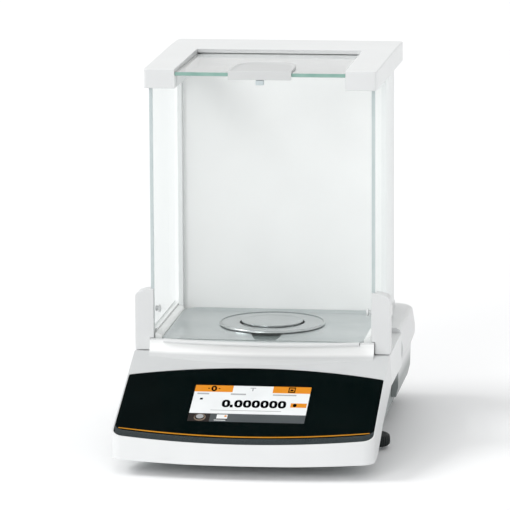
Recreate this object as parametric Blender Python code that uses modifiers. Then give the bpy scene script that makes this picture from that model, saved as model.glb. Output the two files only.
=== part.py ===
"""Analytical balance with a glass draft shield, a tilted touch display and sliding doors.

Metres, +Z up. Origin: on the bench under the middle of the footprint. +X is the user's right
and -Y is the user's side, so the display is at -Y and the connectors are at +Y.
Sizes below are in millimetres and are scaled by MM where a mesh is made.
"""
import math

import bmesh
import bpy
from mathutils import Matrix, Vector

MM = 0.001
GAP = 0.3               # clearance between pieces that touch

# ---------------------------------------------------------------- driving dimensions, mm
HALF_WIDTH = 107.0      # front housing and side panels
SHOULDER_HALF = 108.0   # rear housing
PAN_HALF = 98.0         # undercut base pan
BACK_Y = 177.7          # rear face of the housing
SEAM_Y = 57.0           # where the side panels meet the rear housing

TOP_SLOPE = 0.37        # rise of the display face per mm of depth
TOP_Z0 = 94.9           # height of that face carried back to y = 0
FRONT_Z = 11.5          # lower edge of the front face, in the middle
FRONT_LIFT = 2.0        # how much that edge rises to the corners
LEDGE_Z = 78.0          # ledge under the door handles
PLATFORM_Z = 87.0       # top of the chamber floor moulding
SILL_Z = 88.5           # top of the moulding in front of the glass
SILL_BOW = 11.0         # how far that moulding bows out in the middle
SILL_HALF = 86.0        # where its bow runs out at each side
SHOULDER_Z = 82.5       # top of the rear housing beside the column

CHAMBER_HALF = 90.4     # column and chamber floor moulding
GLASS_Y = -41.3         # front face of the front glass
GLASS_T = 3.0
PANE_X = 91.2           # inner face of a side pane
JAMB_Y = 88.0           # front of the column
COLUMN_BACK_Y = 161.0
BACK_WALL_Y = 94.6

FRAME_Z = 300.0         # underside of the top frame
FRAME_TOP = 316.0
FRAME_FRONT_Y = -49.0
FRAME_BACK_Y = 163.0
HATCH_HALF = 71.0       # half width of the opening the top glass slides in
HATCH_BACK_Y = 79.0     # front edge of the cover that the top glass slides under
TOP_GLASS_Z = 310.6

PAN_Y = 25.0            # centre of the weighing pan

FOOT_X = 91.4           # levelling feet
FOOT_Y = -44.0
FOOT_R = 16.0
REAR_FOOT = (80.0, 140.0)

LEVER_PIVOT = (0.0, 45.0, 52.0)
SPINDLE = (46.0, PAN_Y)


# ---------------------------------------------------------------- scene and materials
for old in list(bpy.data.objects):
    bpy.data.objects.remove(old, do_unlink=True)


def new_collection(name):
    made = bpy.data.collections.new(name)
    bpy.context.scene.collection.children.link(made)
    return made


PARTS = new_collection("analytical_balance")
CUTTERS = new_collection("cutters")


def material(name, colour, roughness, metallic=0.0, alpha=1.0):
    made = bpy.data.materials.new(name)
    made.use_nodes = True
    shader = made.node_tree.nodes["Principled BSDF"]
    shader.inputs["Base Color"].default_value = (*colour, 1.0)
    shader.inputs["Roughness"].default_value = roughness
    shader.inputs["Metallic"].default_value = metallic
    shader.inputs["Alpha"].default_value = alpha
    return made


WHITE = material("white_plastic", (0.80, 0.82, 0.82), 0.42)
GREY = material("grey_casting", (0.22, 0.24, 0.25), 0.5)
BLACK_GLOSS = material("black_gloss", (0.008, 0.011, 0.012), 0.08)
BLACK = material("black_plastic", (0.02, 0.02, 0.022), 0.5)
RUBBER = material("rubber", (0.015, 0.015, 0.016), 0.8)
ORANGE = material("orange_accent", (0.80, 0.36, 0.02), 0.35)
SCREEN = material("screen", (0.60, 0.62, 0.62), 0.2)
STEEL = material("brushed_steel", (0.56, 0.58, 0.58), 0.3, 1.0)
ALUMINIUM = material("aluminium", (0.62, 0.63, 0.64), 0.35, 1.0)
GLASS = material("glass", (0.85, 0.95, 0.92), 0.02, 0.0, 0.35)
GREEN_BOARD = material("circuit_board", (0.02, 0.16, 0.07), 0.5)
COPPER = material("copper", (0.72, 0.36, 0.20), 0.35, 1.0)
BRASS = material("brass", (0.72, 0.56, 0.26), 0.3, 1.0)


# ---------------------------------------------------------------- mesh helpers, mm in and metres out
def add_object(name, mesh, finish, collection=PARTS):
    made = bpy.data.objects.new(name, mesh)
    collection.objects.link(made)
    if finish is not None:
        mesh.materials.append(finish)
    return made


def mesh_object(name, bm, finish):
    bmesh.ops.scale(bm, vec=(MM, MM, MM), verts=bm.verts)
    bmesh.ops.recalc_face_normals(bm, faces=bm.faces)
    mesh = bpy.data.meshes.new(name)
    bm.to_mesh(mesh)
    bm.free()
    return add_object(name, mesh, finish)


def box(name, low, high, finish=None, rounding=0.0, segments=2):
    """An upright box between two corners, its edges rounded by an applied bevel."""
    bm = bmesh.new()
    bmesh.ops.create_cube(bm, size=1.0)
    size = [b - a for a, b in zip(low, high)]
    centre = [(a + b) / 2 for a, b in zip(low, high)]
    bmesh.ops.scale(bm, vec=size, verts=bm.verts)
    bmesh.ops.translate(bm, vec=centre, verts=bm.verts)
    if rounding:
        bmesh.ops.bevel(bm, geom=bm.edges[:], offset=rounding, segments=segments, profile=0.5,
                        affect="EDGES")
    return mesh_object(name, bm, finish)


def prism(name, outline, z0, z1, finish=None):
    """An outline in plan, raised from z0 to z1."""
    bm = bmesh.new()
    base = bm.faces.new([bm.verts.new((x, y, z0)) for x, y in outline])
    grown = bmesh.ops.extrude_face_region(bm, geom=[base])
    raised = [item for item in grown["geom"] if isinstance(item, bmesh.types.BMVert)]
    bmesh.ops.translate(bm, vec=(0, 0, z1 - z0), verts=raised)
    return mesh_object(name, bm, finish)


def side_prism(name, outline, x0, x1, finish=None):
    """An outline in side view, given as (y, z), carried across from x0 to x1."""
    bm = bmesh.new()
    base = bm.faces.new([bm.verts.new((x0, y, z)) for y, z in outline])
    grown = bmesh.ops.extrude_face_region(bm, geom=[base])
    moved = [item for item in grown["geom"] if isinstance(item, bmesh.types.BMVert)]
    bmesh.ops.translate(bm, vec=(x1 - x0, 0, 0), verts=moved)
    return mesh_object(name, bm, finish)


def front_prism(name, outline, y0, y1, finish=None):
    """An outline in front view, given as (x, z), carried back from y0 to y1."""
    bm = bmesh.new()
    base = bm.faces.new([bm.verts.new((x, y0, z)) for x, z in outline])
    grown = bmesh.ops.extrude_face_region(bm, geom=[base])
    moved = [item for item in grown["geom"] if isinstance(item, bmesh.types.BMVert)]
    bmesh.ops.translate(bm, vec=(0, y1 - y0, 0), verts=moved)
    return mesh_object(name, bm, finish)


def loft(name, sections, finish=None):
    """A closed solid through stacked outlines of (x, y, z) points that all have the same count."""
    bm = bmesh.new()
    rings = [[bm.verts.new(point) for point in section] for section in sections]
    for lower, upper in zip(rings, rings[1:]):
        for i in range(len(lower)):
            j = (i + 1) % len(lower)
            bm.faces.new((lower[i], lower[j], upper[j], upper[i]))
    bm.faces.new(list(reversed(rings[0])))
    bm.faces.new(rings[-1])
    return mesh_object(name, bm, finish)


def cylinder(name, radius, length, centre, axis="Z", finish=None, sides=24):
    bm = bmesh.new()
    bmesh.ops.create_cone(bm, cap_ends=True, segments=sides, radius1=radius, radius2=radius, depth=length)
    turn = {"Z": Matrix.Identity(3), "X": Matrix.Rotation(math.pi / 2, 3, "Y"),
            "Y": Matrix.Rotation(math.pi / 2, 3, "X")}[axis]
    bmesh.ops.rotate(bm, matrix=turn, verts=bm.verts)
    bmesh.ops.translate(bm, vec=centre, verts=bm.verts)
    made = mesh_object(name, bm, finish)
    smooth(made)
    return made


def turned(name, profile, centre, finish, steps=40):
    """A turned piece about Z: (radius, height) points down its outer side, by a Screw modifier."""
    mesh = bpy.data.meshes.new(name)
    points = [(r * MM, 0.0, z * MM) for r, z in profile]
    closed = profile[0][0] > 0.0
    edges = [(i, i + 1) for i in range(len(points) - 1)]
    if closed:
        edges.append((len(points) - 1, 0))
    mesh.from_pydata(points, edges, [])
    made = add_object(name, mesh, finish)
    made.location = (centre[0] * MM, centre[1] * MM, 0.0)
    screw = made.modifiers.new("turn", "SCREW")
    screw.angle = 2 * math.pi
    screw.steps = steps
    screw.render_steps = steps
    screw.use_merge_vertices = True
    screw.merge_threshold = 0.00001
    screw.use_smooth_shade = True
    return made


def smooth(obj, angle=40.0):
    obj.data.shade_smooth()
    obj.data.set_sharp_from_angle(angle=math.radians(angle))


def combine(obj, other, operation):
    """Add, cut away or keep the common part of another piece, with an exact Boolean."""
    PARTS.objects.unlink(other)
    CUTTERS.objects.link(other)
    other.hide_render = True
    other.display_type = "WIRE"
    change = obj.modifiers.new(operation.lower(), "BOOLEAN")
    change.operation = operation
    change.solver = "EXACT"
    change.object = other
    return obj


def cut(obj, *cutters):
    for cutter in cutters:
        combine(obj, cutter, "DIFFERENCE")
    return obj


def join(obj, *others):
    for other in others:
        combine(obj, other, "UNION")
    return obj


def mirrored(name, build):
    """Build a right-hand piece, and its left-hand twin from the same mesh flipped in X."""
    right = build("right_" + name)
    depsgraph = bpy.context.evaluated_depsgraph_get()
    mesh = bpy.data.meshes.new_from_object(right.evaluated_get(depsgraph))
    mesh.transform(Matrix.Scale(-1, 4, Vector((1, 0, 0))) @ right.matrix_world)
    mesh.flip_normals()
    left = add_object("left_" + name, mesh, None)
    return left, right


def moving_parent(name, place, children):
    """An empty on the joint, which carries the pieces of one moving body."""
    empty = bpy.data.objects.new(name, None)
    empty.location = Vector(place) * MM
    PARTS.objects.link(empty)
    bpy.context.view_layer.update()
    for child in children:
        child.parent = empty
        child.matrix_parent_inverse = empty.matrix_world.inverted()
    return empty


def arc_y(x, half, y_middle, y_ends):
    """The y of a circular arc that runs from (-half, y_ends) through (0, y_middle) to (half, y_ends)."""
    rise = y_middle - y_ends
    radius = (half * half + rise * rise) / (2 * abs(rise))
    side = math.copysign(1.0, rise)
    return y_middle - side * (radius - math.sqrt(radius * radius - x * x))


def arc_points(half, y_middle, y_ends, count, x_limit=None):
    """Points along that arc from the left to the right."""
    reach = half if x_limit is None else x_limit
    xs = [-reach + 2 * reach * i / (count - 1) for i in range(count)]
    return [(x, arc_y(x, half, y_middle, y_ends)) for x in xs]


def corner(cx, cy, radius, start, end, count):
    """Points round a corner of the outline, from one angle to another in degrees."""
    angles = [math.radians(start + (end - start) * i / (count - 1)) for i in range(count)]
    return [(cx + radius * math.cos(a), cy + radius * math.sin(a)) for a in angles]


def rounded_rectangle(x0, x1, y0, y1, radii, count=5):
    """Anticlockwise from the front left; radii are for front left, front right, back right, back left."""
    fl, fr, br, bl = radii
    return (corner(x0 + fl, y0 + fl, fl, 180, 270, count) + corner(x1 - fr, y0 + fr, fr, 270, 360, count)
            + corner(x1 - br, y1 - br, br, 0, 90, count) + corner(x0 + bl, y1 - bl, bl, 90, 180, count))


def top_z(y):
    """Height of the sloping display face."""
    return TOP_Z0 + TOP_SLOPE * y


def lean(obj, below):
    """Shear a flat piece so that it lies along the display face, its z = 0 at `below` under it."""
    shear = Matrix.Identity(4)
    shear[2][1] = TOP_SLOPE
    obj.data.transform(Matrix.Translation((0, 0, (TOP_Z0 - below) * MM)) @ shear)
    return obj


# ---------------------------------------------------------------- outlines of the front
PANEL_HALF = 105.7      # display bezel
PANEL_BACK = (-67.0, -80.0)     # y of its rear edge in the middle and at the ends
PANEL_FRONT = (-176.4, -166.4)  # y of its front edge in the middle and at the ends
PANEL_CORNER = 8.0
RIM = 1.3               # housing left showing round the bezel


def front_outline(grow, back_y):
    """Plan of the front: straight sides, a bowed front edge and rounded front corners."""
    half = PANEL_HALF + grow
    y_middle = PANEL_FRONT[0] - grow
    y_ends = PANEL_FRONT[1] - grow
    radius = PANEL_CORNER + grow
    rise = abs(y_middle - y_ends)
    slope = math.degrees(math.asin(2 * rise * half / (half ** 2 + rise ** 2)))
    inset = half - radius * (1 - math.sin(math.radians(slope)) * 0.5)
    front = arc_points(half, y_middle, y_ends, 21, inset)
    y_corner = front[-1][1] + radius * 0.97
    right = corner(half - radius, y_corner, radius, 270 + slope + 8, 360, 5)
    left = corner(-half + radius, y_corner, radius, 180, 270 - slope - 8, 5)
    return front + right + [(half, back_y), (-half, back_y)] + left


def panel_outline(shrink):
    """Plan of the display bezel, its rear edge bowed back."""
    front = front_outline(-shrink, 0.0)
    ends = [p for p in front if p[1] < 0.0]
    half = PANEL_HALF - shrink
    back = arc_points(half, PANEL_BACK[0] - shrink, PANEL_BACK[1] - shrink, 15)
    split = next(i for i, p in enumerate(front) if p[1] >= 0.0)
    return ends[:split] + list(reversed(back)) + ends[split:]


def band_outline(half, y_middle, y_ends, width):
    """A thin bowed strip in plan."""
    lower = arc_points(half, y_middle, y_ends, 21)
    upper = [(x, y + width) for x, y in reversed(lower)]
    return lower + upper


SCREEN_BOX = (-48.4, 48.4, -145.2, -92.9)   # touch glass in plan
STRIPE = (101.0, -166.6, -157.0, 1.8)       # accent strip: half length, y middle, y ends, width
BEZEL_T = 3.0


def rectangle(x0, x1, y0, y1):
    return [(x0, y0), (x1, y0), (x1, y1), (x0, y1)]


# ---------------------------------------------------------------- front housing
SEAM_FOOT = (-26.0, 50.5)   # lower end of the seam behind the front housing, as (y, z)
SKIRT = [(-150.0, FRONT_Z + 1.0), (-134.0, 15.5), (-118.0, 22.5), (-97.0, 31.0), (-60.0, 42.0), SEAM_FOOT]
HOUSING_SIDE = ([(-182.0, FRONT_Z)] + SKIRT
                + [(-41.0, LEDGE_Z), ((LEDGE_Z - TOP_Z0) / TOP_SLOPE, LEDGE_Z), (-182.0, top_z(-182.0))])


def sill_bow(x):
    return SILL_BOW * max(0.0, 1 - (x / SILL_HALF) ** 2)


def sill_section(x):
    """The moulding in front of the glass at x: a flat top and a cove that runs down to the display."""
    bow = sill_bow(x)
    centre_y, centre_z, radius, toe_share = -58.2, 86.8, 12.6, 0.6
    section = [(x, -36.6, 70.0), (x, -36.6, SILL_Z), (x, -45.6 - bow, SILL_Z)]
    for step in range(7):
        angle = math.radians(-step * 11.0)
        share = 1 - (1 - toe_share) * step / 6
        section.append((x, centre_y - share * bow + radius * math.cos(angle),
                        centre_z + radius * math.sin(angle)))
    section.append((x, -56.0 - toe_share * bow, 70.0))
    return section


def build_front_housing():
    housing = side_prism("front_housing", HOUSING_SIDE, -115.0, 115.0, WHITE)
    combine(housing, prism("housing_plan", front_outline(RIM, 0.0), -5.0, 100.0), "INTERSECT")

    stations = [-94.0, -SILL_HALF, -75.0, -62.0, -47.0, -30.0, -10.0, 10.0, 30.0, 47.0, 62.0, 75.0,
                SILL_HALF, 94.0]
    join(housing, loft("sill_block", [sill_section(x) for x in stations]))

    wall = 3.0
    ceiling = BEZEL_T + GAP + 2.6
    cavity = ([(-175.0, FRONT_Z + wall)] + [(y, z + wall) for y, z in SKIRT]
              + [(-10.0, SEAM_FOOT[1] + 7.0), (-10.0, 71.5), (-47.0, 71.5),
                 (-175.0, top_z(-175.0) - ceiling)])
    hollow = side_prism("housing_hollow", cavity, -103.6, 103.6)
    combine(hollow, prism("hollow_plan", front_outline(RIM - wall, 20.0), -5.0, 100.0), "INTERSECT")
    cut(housing, hollow)
    opening = [(-150.4, 0.0), (0.0, 0.0), (0.0, 68.0), (-66.0, 64.0), (-150.4, 30.0)]
    cut(housing, side_prism("pan_opening", opening, -PAN_HALF - GAP, PAN_HALF + GAP))
    edge = [(10.0 * i, FRONT_Z + FRONT_LIFT * (10.0 * i / HALF_WIDTH) ** 2) for i in range(-11, 12)]
    cut(housing, front_prism("lower_edge", [(-110.0, 0.0)] + edge + [(110.0, 0.0)], -200.0, -146.0))
    cut(housing, lean(prism("bezel_recess", panel_outline(-GAP), 0.0, 8.0), BEZEL_T + GAP))
    cut(housing, lean(prism("screen_window", rectangle(-52.0, 52.0, -148.0, -90.0), -6.0, 2.0),
                      BEZEL_T + GAP))
    cut(housing, box("glass_groove", (-91.4, GLASS_Y - GAP, 86.0), (91.4, GLASS_Y + GLASS_T + GAP, 95.0)))
    cut(housing, box("sill_recess", (-82.4, -62.0, 86.4), (82.4, GLASS_Y - GAP - 0.9, 95.0)))
    return housing


front_housing = build_front_housing()


def build_front_sill():
    """A bowed strip with a lower shelf behind it that reaches back to the glass."""
    half, rear_y, rim = 82.0, GLASS_Y - GAP - 0.9, 5.6
    xs = [-half + half * i / 8 for i in range(17)]
    front = [(x, -48.2 - sill_bow(x)) for x in xs]
    sill = prism("front_sill", front + [(half, rear_y - GAP), (-half, rear_y - GAP)], SILL_Z - 1.8,
                 SILL_Z + 0.8, WHITE)
    shelf = [(x, y + rim) for x, y in front if abs(x) < 77.0]
    cut(sill, prism("sill_shelf", shelf + [(shelf[-1][0], -30.0), (shelf[0][0], -30.0)], SILL_Z - 0.5, 95.0))
    return sill


build_front_sill()


# ---------------------------------------------------------------- display
def build_display():
    bezel = lean(prism("display_bezel", panel_outline(0.0), 0.0, BEZEL_T, BLACK_GLOSS), BEZEL_T)
    x0, x1, y0, y1 = SCREEN_BOX
    window = rectangle(x0 - GAP, x1 + GAP, y0 - GAP, y1 + GAP)
    cut(bezel, lean(prism("touch_window", window, -1.0, 5.0), BEZEL_T))
    half, y_middle, y_ends, width = STRIPE
    groove = band_outline(half + GAP, y_middle - GAP, y_ends - GAP, width + 2 * GAP)
    cut(bezel, lean(prism("stripe_groove", groove, 1.8, 5.0), BEZEL_T))
    lean(prism("accent_strip", band_outline(half, y_middle, y_ends, width), 2.1, BEZEL_T, ORANGE), BEZEL_T)
    lean(prism("touch_glass", rectangle(x0, x1, y0, y1), 1.2, BEZEL_T, SCREEN), BEZEL_T)
    lean(prism("lcd_module", rectangle(-51.0, 51.0, -147.4, -90.6), -4.2, -0.5, BLACK), BEZEL_T)
    lean(prism("display_board", rectangle(-60.0, 60.0, -146.5, -85.5), -7.8, -6.2, GREEN_BOARD), BEZEL_T)


build_display()


# ---------------------------------------------------------------- side panels
def build_side_panel(name):
    section = [(104.2, 49.5), (HALF_WIDTH, 49.5), (HALF_WIDTH, LEDGE_Z - 1.0), (HALF_WIDTH - 1.0, LEDGE_Z),
               (94.5, LEDGE_Z), (94.5, 75.4), (104.2, 75.4)]
    panel = front_prism(name, section, -50.0, SEAM_Y - GAP, WHITE)
    lean_y = (SEAM_FOOT[0] + 41.0) / (LEDGE_Z - SEAM_FOOT[1])
    wedge = [(-60.0, 40.0), (-40.5 + lean_y * (LEDGE_Z - 40.0), 40.0), (-40.5, LEDGE_Z),
             (-40.5 - lean_y * 12.0, 90.0), (-60.0, 90.0)]
    return cut(panel, side_prism(name + "_seam", wedge, 90.0, 115.0))


mirrored("side_panel", build_side_panel)


# ---------------------------------------------------------------- rear housing with the chamber floor
def shoulder_ring(z, half, y_front, y_back, radius, front_radius=1.2):
    radii = (front_radius, front_radius, radius, radius)
    return [(x, y, z) for x, y in rounded_rectangle(-half, half, y_front, y_back, radii, 6)]


def build_rear_housing():
    outer = [(22.0, 101.5, 171.0, 13), (26.0, 103.2, 174.0, 14), (47.0, 104.0, 175.0, 14),
             (57.0, SHOULDER_HALF, BACK_Y, 15), (64.0, SHOULDER_HALF, BACK_Y, 15),
             (79.5, SHOULDER_HALF - 1.7, BACK_Y - 1.7, 15), (81.6, SHOULDER_HALF - 2.6, BACK_Y - 2.6, 14),
             (SHOULDER_Z, SHOULDER_HALF - 4.4, BACK_Y - 4.4, 13)]
    housing = loft("rear_housing", [shoulder_ring(z, h, SEAM_Y, b, r) for z, h, b, r in outer], WHITE)
    wall = 3.0
    inner = [(20.0, 99.0, 168.5, 11), (47.0, 101.0, 172.0, 12), (57.5, 105.0, BACK_Y - wall, 12),
             (70.0, 104.5, BACK_Y - wall, 12), (SHOULDER_Z - wall, 102.6, BACK_Y - wall - 1.5, 11)]
    rings = [shoulder_ring(z, h, SEAM_Y + wall, b, r) for z, h, b, r in inner]
    join(housing, box("deck", (-94.2, -36.2, 79.6), (94.2, SEAM_Y + 2.0, SHOULDER_Z)))
    join(housing,
         box("platform", (-CHAMBER_HALF, -36.2, 81.0), (CHAMBER_HALF, COLUMN_BACK_Y + 2.0, PLATFORM_Z)))
    for side in (-1, 1):
        curb = [(side * 84.9, 86.0), (side * CHAMBER_HALF, 86.0), (side * CHAMBER_HALF, 92.6),
                (side * 88.6, 92.4), (side * 86.0, 91.2), (side * 84.9, 90.0)]
        join(housing, front_prism("curb", curb[::side], -36.2, JAMB_Y - 0.6))
    cut(housing, loft("shoulder_hollow", rings))
    cut(housing, box("pan_passage", (-PAN_HALF - GAP, SEAM_Y - 5.0, 10.0),
                     (PAN_HALF + GAP, SEAM_Y + 10.0, 62.5)))
    cut(housing, box("deck_hollow", (-87.4, -33.2, 60.0), (87.4, COLUMN_BACK_Y - 1.0, PLATFORM_Z - wall)))
    cut(housing, cylinder("stem_hole", 15.0, 20.0, (0, PAN_Y, 84.0)))
    cut(housing, box("connector_opening", (-70.0, 165.0, 30.0), (70.0, 185.0, 68.0)))
    return housing


build_rear_housing()


# ---------------------------------------------------------------- base pan
def build_base_pan():
    outline = rounded_rectangle(-PAN_HALF, PAN_HALF, -150.0, 168.0, (8, 8, 12, 12))
    pan = prism("base_pan", outline, 15.0, 62.0, GREY)
    inner = rounded_rectangle(-PAN_HALF + 3, PAN_HALF - 3, -147.0, 165.0, (6, 6, 10, 10))
    cut(pan, prism("pan_hollow", inner, 18.0, 80.0))
    clear = [(-160.0, 26.0), (-70.0, 62.0), (-70.0, 80.0), (-160.0, 80.0)]
    cut(pan, side_prism("pan_slope", clear, -110.0, 110.0))
    cut(pan, box("connector_gap", (-72.0, 150.0, 27.0), (72.0, 175.0, 80.0)))
    for x in (-FOOT_X, FOOT_X):
        cut(pan, cylinder("foot_bore", 3.4, 10.0, (x, FOOT_Y, 16.0), sides=16))
    return pan


build_base_pan()


# ---------------------------------------------------------------- feet
def build_levelling_foot(side):
    place = (side * FOOT_X, FOOT_Y)
    prefix = "right" if side > 0 else "left"
    wheel_profile = [(3.4, 12.4), (FOOT_R - 2.4, 12.4), (FOOT_R - 0.6, 11.5), (FOOT_R, 9.8), (FOOT_R, 4.6),
                     (FOOT_R - 0.7, 3.2), (FOOT_R - 2.2, 2.5), (3.4, 2.5)]
    wheel = turned(prefix + "_foot_wheel", wheel_profile, place, BLACK, 32)
    screw_profile = [(0.0, 26.0), (2.4, 26.0), (3.0, 25.4), (3.0, 2.2), (9.4, 2.2), (10.0, 1.6), (10.0, 0.0),
                     (0.0, 0.0)]
    screw = turned(prefix + "_foot_screw", screw_profile, place, STEEL, 20)
    moving_parent(prefix + "_foot_axis", (place[0], place[1], 0.0), (wheel, screw))


for foot_side in (-1, 1):
    build_levelling_foot(foot_side)

for foot_side, foot_name in ((-1, "left_rear_foot"), (1, "right_rear_foot")):
    turned(foot_name, [(0.0, 14.7), (9.0, 14.7), (11.0, 9.0), (11.0, 1.0), (10.0, 0.0), (0.0, 0.0)],
           (foot_side * REAR_FOOT[0], REAR_FOOT[1]), RUBBER, 24)


# ---------------------------------------------------------------- chamber floor
def build_chamber_tray():
    tray = box("chamber_tray", (-84.6, -35.6, PLATFORM_Z + GAP), (84.6, 94.0, PLATFORM_Z + 1.2), STEEL)
    collar = turned("tray_collar", [(13.2, 90.2), (14.0, 90.2), (16.4, 87.9), (16.4, 87.5), (13.2, 87.5)],
                    (0, PAN_Y), None, 32)
    cone = turned("tray_cone", [(41.0, 89.6), (44.8, 89.6), (47.5, 89.1), (51.5, 88.5), (57.5, 88.0),
                                (57.5, 87.6), (41.0, 87.6)], (0, PAN_Y), None, 64)
    cut(tray, cylinder("tray_hole", 13.6, 10.0, (0, PAN_Y, 88.0), sides=32))
    join(tray, collar)
    join(tray, cone)
    notch = [(-6.5, -34.6), (10.5, -34.6), (15.0, -10.6), (-11.5, -10.6)]
    cut(tray, prism("tray_notch", notch, PLATFORM_Z + 0.7, 95.0))
    return tray


build_chamber_tray()

turned("draft_ring", [(27.6, 92.0), (43.2, 92.0), (44.0, 92.4), (45.0, 91.4), (45.0, 90.4), (44.0, 90.0),
                      (40.5, 90.2), (39.5, 88.6), (37.5, 88.6), (36.8, 90.3), (27.6, 90.8)],
       (0, PAN_Y), STEEL, 64)

weighing_pan = turned("weighing_pan", [(0.0, 93.0), (24.2, 93.0), (25.0, 93.5), (25.7, 93.5), (26.0, 93.2),
                                       (26.0, 92.0), (25.2, 91.4), (0.0, 91.4)], (0, PAN_Y), STEEL, 48)
pan_support = turned("pan_support", [(0.0, 91.1), (12.0, 91.1), (12.0, 90.2), (5.0, 86.8), (4.0, 84.0),
                                     (4.0, 59.2), (10.0, 59.2), (10.0, 56.4), (0.0, 56.4)],
                     (0, PAN_Y), ALUMINIUM, 32)
moving_parent("pan_axis", (0, PAN_Y, 91.4), (weighing_pan, pan_support))


# ---------------------------------------------------------------- column and back wall
def build_column():
    outline = rounded_rectangle(-CHAMBER_HALF, CHAMBER_HALF, JAMB_Y, COLUMN_BACK_Y, (0.8, 0.8, 6, 6))
    column = prism("column", outline, PLATFORM_Z + GAP, FRAME_Z - GAP, WHITE)
    cut(column, box("wall_recess", (-86.6, 80.0, 80.0), (86.6, 97.2, 305.0)))
    inner = rounded_rectangle(-87.6, 87.6, 99.9, COLUMN_BACK_Y - 2.8, (1, 1, 4, 4))
    cut(column, prism("column_hollow", inner, 80.0, FRAME_Z - 3.2))
    return column


build_column()
box("back_wall", (-86.3, BACK_WALL_Y, PLATFORM_Z + GAP + 0.6), (86.3, 96.9, FRAME_Z - 0.9), WHITE)


# ---------------------------------------------------------------- top frame
FRAME_SIDE_FRONT = 97.0
FRAME_SIDE_BACK = 98.6


def frame_outline():
    return (corner(-FRAME_SIDE_FRONT + 2.5, FRAME_FRONT_Y + 2.5, 2.5, 180, 270, 4)
            + corner(FRAME_SIDE_FRONT - 2.5, FRAME_FRONT_Y + 2.5, 2.5, 270, 360, 4)
            + corner(FRAME_SIDE_BACK - 11, FRAME_BACK_Y - 11, 11, 0, 90, 6)
            + corner(-FRAME_SIDE_BACK + 11, FRAME_BACK_Y - 11, 11, 90, 180, 6))


def build_top_frame():
    profile = [(FRAME_FRONT_Y - 5.0, FRAME_Z), (FRAME_BACK_Y + 5.0, FRAME_Z),
               (FRAME_BACK_Y + 5.0, FRAME_TOP - 2.0),
               (FRAME_BACK_Y - 7.0, FRAME_TOP + 0.7), (HATCH_BACK_Y + 20.0, FRAME_TOP + 1.6),
               (HATCH_BACK_Y - 40.0, FRAME_TOP + 0.9), (FRAME_FRONT_Y - 5.0, FRAME_TOP)]
    frame = side_prism("top_frame", profile, -FRAME_SIDE_BACK - 5.0, FRAME_SIDE_BACK + 5.0, WHITE)
    combine(frame, prism("frame_plan", frame_outline(), FRAME_Z - 5.0, FRAME_TOP + 10.0), "INTERSECT")
    cut(frame, box("hatch", (-HATCH_HALF - 0.2, -60.0, TOP_GLASS_Z - 0.4),
                   (HATCH_HALF + 0.2, HATCH_BACK_Y, 330.0)))
    cut(frame, box("cover_slot", (-HATCH_HALF - 0.2, 60.0, TOP_GLASS_Z - 0.4),
                   (HATCH_HALF + 0.2, FRAME_BACK_Y - 5.0, TOP_GLASS_Z + 4.2)))
    cut(frame, box("mouth", (-HATCH_HALF, -60.0, 290.0), (HATCH_HALF, HATCH_BACK_Y + 4.0, 307.4)))
    cut(frame, box("mouth_front", (-HATCH_HALF, -60.0, 300.0), (HATCH_HALF, -14.0, 312.0)))
    cut(frame, box("mouth_rear", (-66.5, -20.0, 300.0), (66.5, HATCH_BACK_Y + 4.0, 312.0)))
    cut(frame, box("glass_slot", (-91.4, GLASS_Y - GAP, 290.0), (91.4, GLASS_Y + GLASS_T + GAP, 310.0)))
    for side in (-1, 1):
        inner, outer = sorted((side * (PANE_X - 0.4), side * (PANE_X + 3.5)))
        cut(frame, box("door_groove", (inner, GLASS_Y + GLASS_T, 290.0), (outer, FRAME_BACK_Y + 5.0, 305.4)))
    return frame


build_top_frame()
box("front_glass", (-91.0, GLASS_Y, 86.4), (91.0, GLASS_Y + GLASS_T, 309.6), GLASS)


# ---------------------------------------------------------------- side doors
def build_rail(name):
    return box(name, (PANE_X - 0.2, -36.0, SHOULDER_Z + GAP), (PANE_X + 3.0, 108.0, 86.2), ALUMINIUM)


mirrored("door_rail", build_rail)


def build_pane(name):
    return box(name, (PANE_X, -36.4, 94.4), (PANE_X + 3.0, 96.0, 304.8), GLASS)


def build_runner(name):
    section = [(PANE_X - 0.4, 86.6), (PANE_X + 4.0, 86.6), (PANE_X + 4.0, 94.8), (PANE_X + 3.3, 95.4),
               (PANE_X + 3.3, 94.1), (PANE_X - 0.3, 94.1), (PANE_X - 0.4, 94.0)]
    return front_prism(name, section, -26.4, 96.0, WHITE)


def build_handle(name):
    x0, x1 = PANE_X + 3.3, HALF_WIDTH
    inner_x = PANE_X + 0.1
    outline = [(x0, LEDGE_Z + 0.6), (x1 - 0.6, LEDGE_Z + 0.6), (x1, LEDGE_Z + 1.2), (x1, 122.5),
               (x1 - 1.2, 125.3), (x1 - 3.6, 127.6), (x0 + 4.0, 129.2), (x0, 129.8)]
    flange = [(inner_x, SILL_Z + GAP), (x0 + 1.0, SILL_Z + GAP), (x0 + 1.0, 129.65), (x0, 129.8),
              (inner_x, 130.1)]
    handle = front_prism(name, outline, GLASS_Y + 0.2, GLASS_Y + 14.2, WHITE)
    relief = [(x0 + 3.2, LEDGE_Z + 4.0), (x1 - 3.0, LEDGE_Z + 4.0), (x1 - 3.0, 121.5), (x1 - 6.0, 124.5),
              (x0 + 3.2, 126.0)]
    cut(handle, front_prism(name + "_relief", relief, GLASS_Y + 3.4, GLASS_Y + 20.0))
    return join(handle, front_prism(name + "_flange", flange, GLASS_Y + 0.2, GLASS_Y + 4.6))


def build_knob(name):
    knob = cylinder(name, 3.1, 4.4, (PANE_X - GAP - 2.2, -31.8, 112.4), "X", WHITE, 20)
    return knob


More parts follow.
